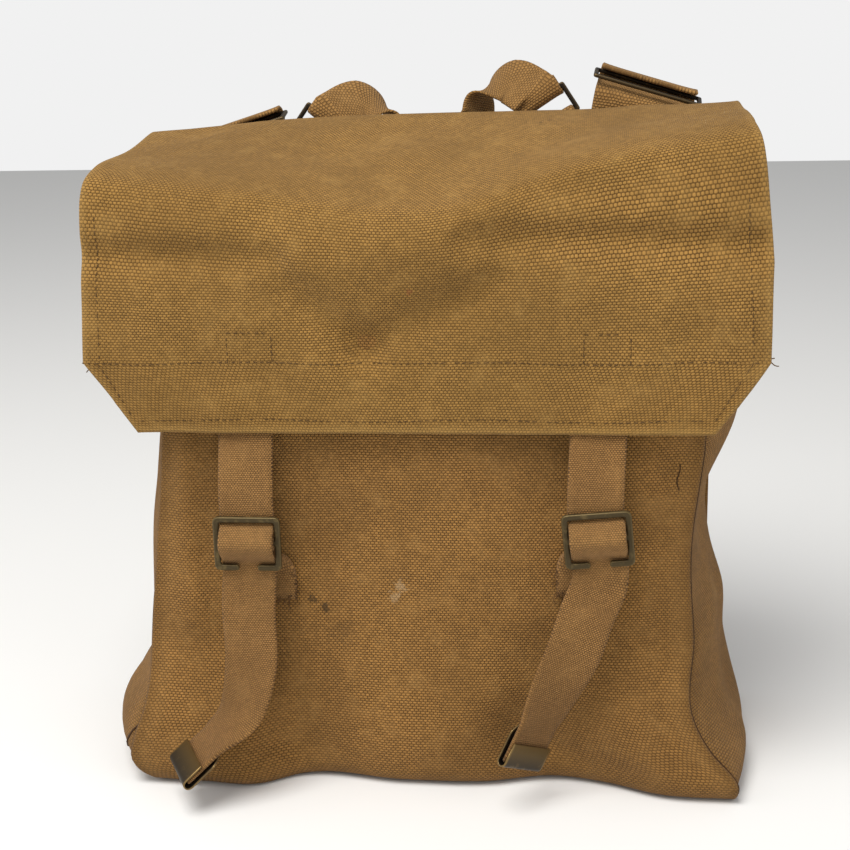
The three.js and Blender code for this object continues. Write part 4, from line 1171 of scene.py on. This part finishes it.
def stitch_mesh(name, runs, radius, material):
    """Short raised stitches: runs holds lists of (start, end, normal) in millimetres."""
    verts, faces = [], []
    for start, end, normal in runs:
        start, end, normal = (np.asarray(v, float) for v in (start, end, normal))
        side = unit(np.cross(unit(end - start), normal))
        rings = []
        for share, lift, size in STITCH_SHAPE:
            centre = start + (end - start) * share + normal * lift * radius
            rings.append(ring(centre, radius * size, side, normal, STITCH_SIDES))
        add_tube(verts, faces, rings)
    return finished(make_object(name, verts, faces, material))


def thread_piece(name, lines, radius, material):
    """Fine round threads along lines of points."""
    verts, faces = [], []
    for line in lines:
        line = np.asarray(line, float)
        along = unit(np.gradient(line, axis=0))
        side = unit(np.cross(along, (0.3, -0.9, 0.2)))
        frames = zip(line, side, np.cross(along, side))
        add_tube(verts, faces, [ring(c, radius, first, second, THREAD_SIDES) for c, first, second in frames])
    return finished(make_object(name, verts, faces, material))


def loose_thread(start, reach, rng, curl=0.5, steps=9):
    """A loose thread from a place, reaching out in a direction and curling a little."""
    t = np.linspace(0, 1, steps)[:, None]
    bend = rng.normal(0, curl, 3) * np.linalg.norm(reach)
    straight = np.asarray(start, float) + np.asarray(reach, float) * t
    return straight + bend * np.sin(t * math.pi) * 0.5 + bend * t**2 * 0.4


def frayed_end(side):
    """Frayed threads along the cut end of a buckle tab and the edge that shows beside the strap."""
    rng = np.random.default_rng(31 if side == "left" else 32)
    middle = BAR[side][0] - SIGN[side] * TAB_SKEW
    edge = middle - SIGN[side] * STRAP_WIDTH / 2
    low = BAR[side][2] - TAB_LENGTH
    lines = []
    for _ in range(34):
        start = (middle + rng.uniform(-12, 12), TAB_FAR - rng.uniform(0.4, 2.0), low + rng.uniform(0, 1.5))
        reach = (rng.normal(0, 1.2), rng.uniform(-1.0, 0.2), -rng.uniform(1.5, 5.5))
        lines.append(loose_thread(start, reach, rng))
    for _ in range(16):
        start = (edge, TAB_FAR - rng.uniform(0.4, 2.0), low + rng.uniform(0, 14))
        reach = (-SIGN[side] * rng.uniform(0.6, 2.4), rng.uniform(-0.8, 0.2), -rng.uniform(0.5, 3.0))
        lines.append(loose_thread(start, reach, rng))
    return thread_piece("frayed_end_" + side, lines, 0.22, strap_web)


def loose_ends(panel, flap):
    """The loose threads at the corners of the flap, and the dark torn thread by the right seam."""
    rng = np.random.default_rng(41)
    tree = tree_of(flap)
    lines = []
    for x, z, reach in (
        (-157, 213.6, (-3.4, -1.0, 1.6)),
        (-157, 212.6, (-2.2, -1.0, -2.2)),
        (157.5, 216.4, (4.0, -1.0, -1.4)),
        (157.5, 216.0, (2.6, -1.0, 1.4)),
    ):
        start = tree.find_nearest(Vector((x, -HALF_DEPTH, z)) * MM)[0]
        lines.append(loose_thread(np.array(start) / MM, reach, rng, 0.3))
    thread_piece("flap_corner_threads", lines, 0.26, thread_cotton)
    zs = np.linspace(163.5, 150.5, 14)
    xs = 118.8 + 0.7 * np.sin(zs / 2.1)
    points, normals = on_cloth(tree_of(panel), xs, zs)
    thread_piece("torn_thread", [points + normals * 0.1], 0.3, dark_thread_and_seam_shade)


def side_seam_shade(side, grid, normals):
    """A dark thread laid in the groove where the turned edge of the panel meets the gusset, down the front:
    painted shade of the seam groove.
    """
    edge = 0 if side == "left" else -1
    rows = FRONT_ROWS + ROUND_ROWS
    out = unit(grid[:, edge] - grid[:, 1 if edge == 0 else -2])
    line = (grid[:, edge] + out * 1.7 - normals[:, edge] * 2.6)[: rows + 1]
    return thread_piece("side_seam_shade_" + side, [line], 0.7, dark_thread_and_seam_shade)


def corner_seam_shade(side, gusset, grid, rise, far, low):
    """A dark thread along the slanting seam that boxes the bottom corner of a gusset, from the front seam
    down and back: painted shade of the seam's crease.
    """
    tree = tree_of(gusset)
    front = grid[: FRONT_ROWS + ROUND_ROWS // 2, 0 if side == "left" else -1][::-1]
    line = []
    for t in np.linspace(0, 1, 24):
        z = rise + (low - rise) * t
        y = float(np.interp(z, front[:, 2], front[:, 1])) + 3 + far * t
        hit, normal, _, _ = tree.ray_cast((SIGN[side] * 300 * MM, y * MM, z * MM), (-SIGN[side], 0, 0))
        if hit is not None:
            line.append(np.array(hit) / MM + np.array(normal) * 0.1)
    return thread_piece("corner_seam_shade_" + side, [np.array(line)], 0.6, dark_thread_and_seam_shade)


def stitch_runs(line, normals, length, gap, rng):
    """Stitches along a line of points on cloth."""
    run = lengths(line)
    out = []
    at = 0.0
    while at + length < run[-1]:
        ends = []
        for s in (at, at + length):
            ends.append(np.array([np.interp(s, run, line[:, c]) for c in range(3)]))
        normal = unit(np.array([np.interp(at, run, normals[:, c]) for c in range(3)]))
        jitter = rng.normal(0, 0.16, 3)
        if rng.random() > 0.12:
            out.append((ends[0] + jitter, ends[1] - jitter, normal))
        at += length + gap
    return out


def on_cloth(tree, xs, zs):
    """Points of the cloth's front at places x and z, in millimetres, with their normals."""
    points, normals = [], []
    for x, z in zip(xs, zs):
        hit, normal, _, _ = tree.ray_cast(Vector((x * MM, -0.3, z * MM)), Vector((0, 1, 0)))
        if hit is None:
            continue
        points.append(np.array(hit) / MM)
        normals.append(np.array(normal))
    return np.array(points), np.array(normals)


def tree_of(piece):
    mesh = piece.data
    return BVHTree.FromPolygons([v.co for v in mesh.vertices], [p.vertices for p in mesh.polygons])


def flap_stitches(flap):
    tree = tree_of(flap)
    rng = np.random.default_rng(3)
    half = FLAP_WIDTH / 2
    hem, corner = HEM_HEIGHT, HEM_HEIGHT + CORNER_CUT_UP
    cut = half - CORNER_CUT_ACROSS
    lines = [
        [(-half + 1, corner), (half - 3, corner)],
        [(-cut + 1, hem + 6), (cut - 3, hem + 6)],
        [(-half + 6, corner), (-cut - 1, hem + 5)],
        [(half - 8, corner), (cut - 1, hem + 5)],
        [(-half + 7, corner + 2), (-half + 9, 285)],
        [(half - 8, corner + 2), (half - 12, 290)],
    ]
    for middle in BOX_MIDDLES:
        left, right, top = middle - BOX_HALF, middle + BOX_HALF, corner + BOX_RISE
        lines += [[(left, top), (right, top)], [(left, corner), (left, top)], [(right, corner), (right, top)]]
    runs = []
    for (x0, z0), (x1, z1) in lines:
        xs, zs = np.linspace(x0, x1, 80), np.linspace(z0, z1, 80)
        zs = zs + 0.6 * np.sin(xs / 17)
        points, normals = on_cloth(tree, xs, zs)
        runs += stitch_runs(points, normals, STITCH_LENGTH, STITCH_GAP, rng)
    return stitch_mesh("flap_stitching", runs, STITCH_RADIUS, thread_cotton)


# Putting the bag together

panel, panel_outer, panel_normals = make_panel(body_cloth)
finished(panel, "main_panel")
for side in ("left", "right"):
    gusset = make_gusset(side, panel_outer, panel_normals, body_cloth)
    finished(gusset, "side_gusset_" + side)
    side_seam_shade(side, panel_outer, panel_normals)
    if side in CORNER_SEAM:
        corner_seam_shade(side, gusset, panel_outer, *CORNER_SEAM[side])
flap, flap_length, flap_area = make_flap(flap_cloth)
finished(flap, "flap")
flap_sewing = flap_stitches(flap)
for side in ("left", "right"):
    make_strap(side)
    make_tip(side)
    make_tab(side)
    frayed_end(side)
    strap_buckle(side)
    make_loop(side)
    make_small_chape(side)
    make_wide_chape(side)
    rear_buckles(side)
loose_ends(panel, flap)
print("flap length", round(flap_length, 1), "area", round(flap_area, 5))


# Floor, lights and camera

# Half the floor's side in millimetres, and the point in metres that the lamps are turned to
FLOOR_HALF = 2500
LAMP_AIM = (0, 0, 0.16)
# The photo's camera in degrees, and in metres the place that it looks at and how far off it stands
AZIMUTH, ELEVATION, ROLL = 6.5, 16, -1.5
CAMERA_AIM, CAMERA_AWAY = (-0.006, 0, 0.167), 0.806
LENS, SENSOR = 67.4, 36


def make_floor():
    verts = [(x * FLOOR_HALF, y * FLOOR_HALF, 0) for x, y in ((-1, -1), (1, -1), (1, 1), (-1, 1))]
    material, _, shader = new_material("pale_floor")
    shader.inputs["Base Color"].default_value = (0.86, 0.86, 0.85, 1)
    shader.inputs["Roughness"].default_value = 0.9
    floor = make_object("floor", verts, [(0, 1, 2, 3)], material)


def make_light(name, place, size, power, color=(1, 1, 1)):
    light = bpy.data.lights.new(name, "AREA")
    light.shape = "DISK"
    light.size = size
    light.energy = power
    light.color = color
    lamp = linked(name, light)
    lamp.location = place
    lamp.rotation_euler = (Vector(LAMP_AIM) - Vector(place)).to_track_quat("-Z", "Y").to_euler()


def make_camera():
    azimuth, elevation, roll = (math.radians(v) for v in (AZIMUTH, ELEVATION, ROLL))
    level = math.cos(elevation)
    back = Vector((math.sin(azimuth) * level, -math.cos(azimuth) * level, math.sin(elevation)))
    right = Vector((math.cos(azimuth), math.sin(azimuth), 0))
    up = back.cross(right)
    x = right * math.cos(roll) + up * math.sin(roll)
    y = up * math.cos(roll) - right * math.sin(roll)
    turn = Matrix((x, y, back)).transposed().to_4x4()
    data = bpy.data.cameras.new("camera")
    data.sensor_width = SENSOR
    data.lens = LENS
    camera = linked("camera", data)
    camera.matrix_world = Matrix.Translation(Vector(CAMERA_AIM) + back * CAMERA_AWAY) @ turn
    bpy.context.scene.camera = camera


make_floor()
make_light("window_above", (-0.35, -0.7, 1.6), 1.1, 26, (1.0, 0.98, 0.95))
make_light("room_right", (1.3, -0.9, 0.8), 1.6, 6)
make_light("room_left", (-1.4, -0.7, 0.7), 1.6, 6)
world = bpy.data.worlds.new("studio")
world.use_nodes = True
sky = Tree(world.node_tree)
seen = sky.node("ShaderNodeLightPath").outputs["Is Camera Ray"]
backdrop = world.node_tree.nodes["Background"].inputs
backdrop[0].default_value = (1, 1, 1, 1)
sky.put(backdrop[1], sky.math("ADD", 0.42, sky.math("MULTIPLY", seen, 0.46)))
bpy.context.scene.world = world
bpy.context.scene.view_settings.view_transform = "Standard"
make_camera()

bpy.context.view_layer.update()
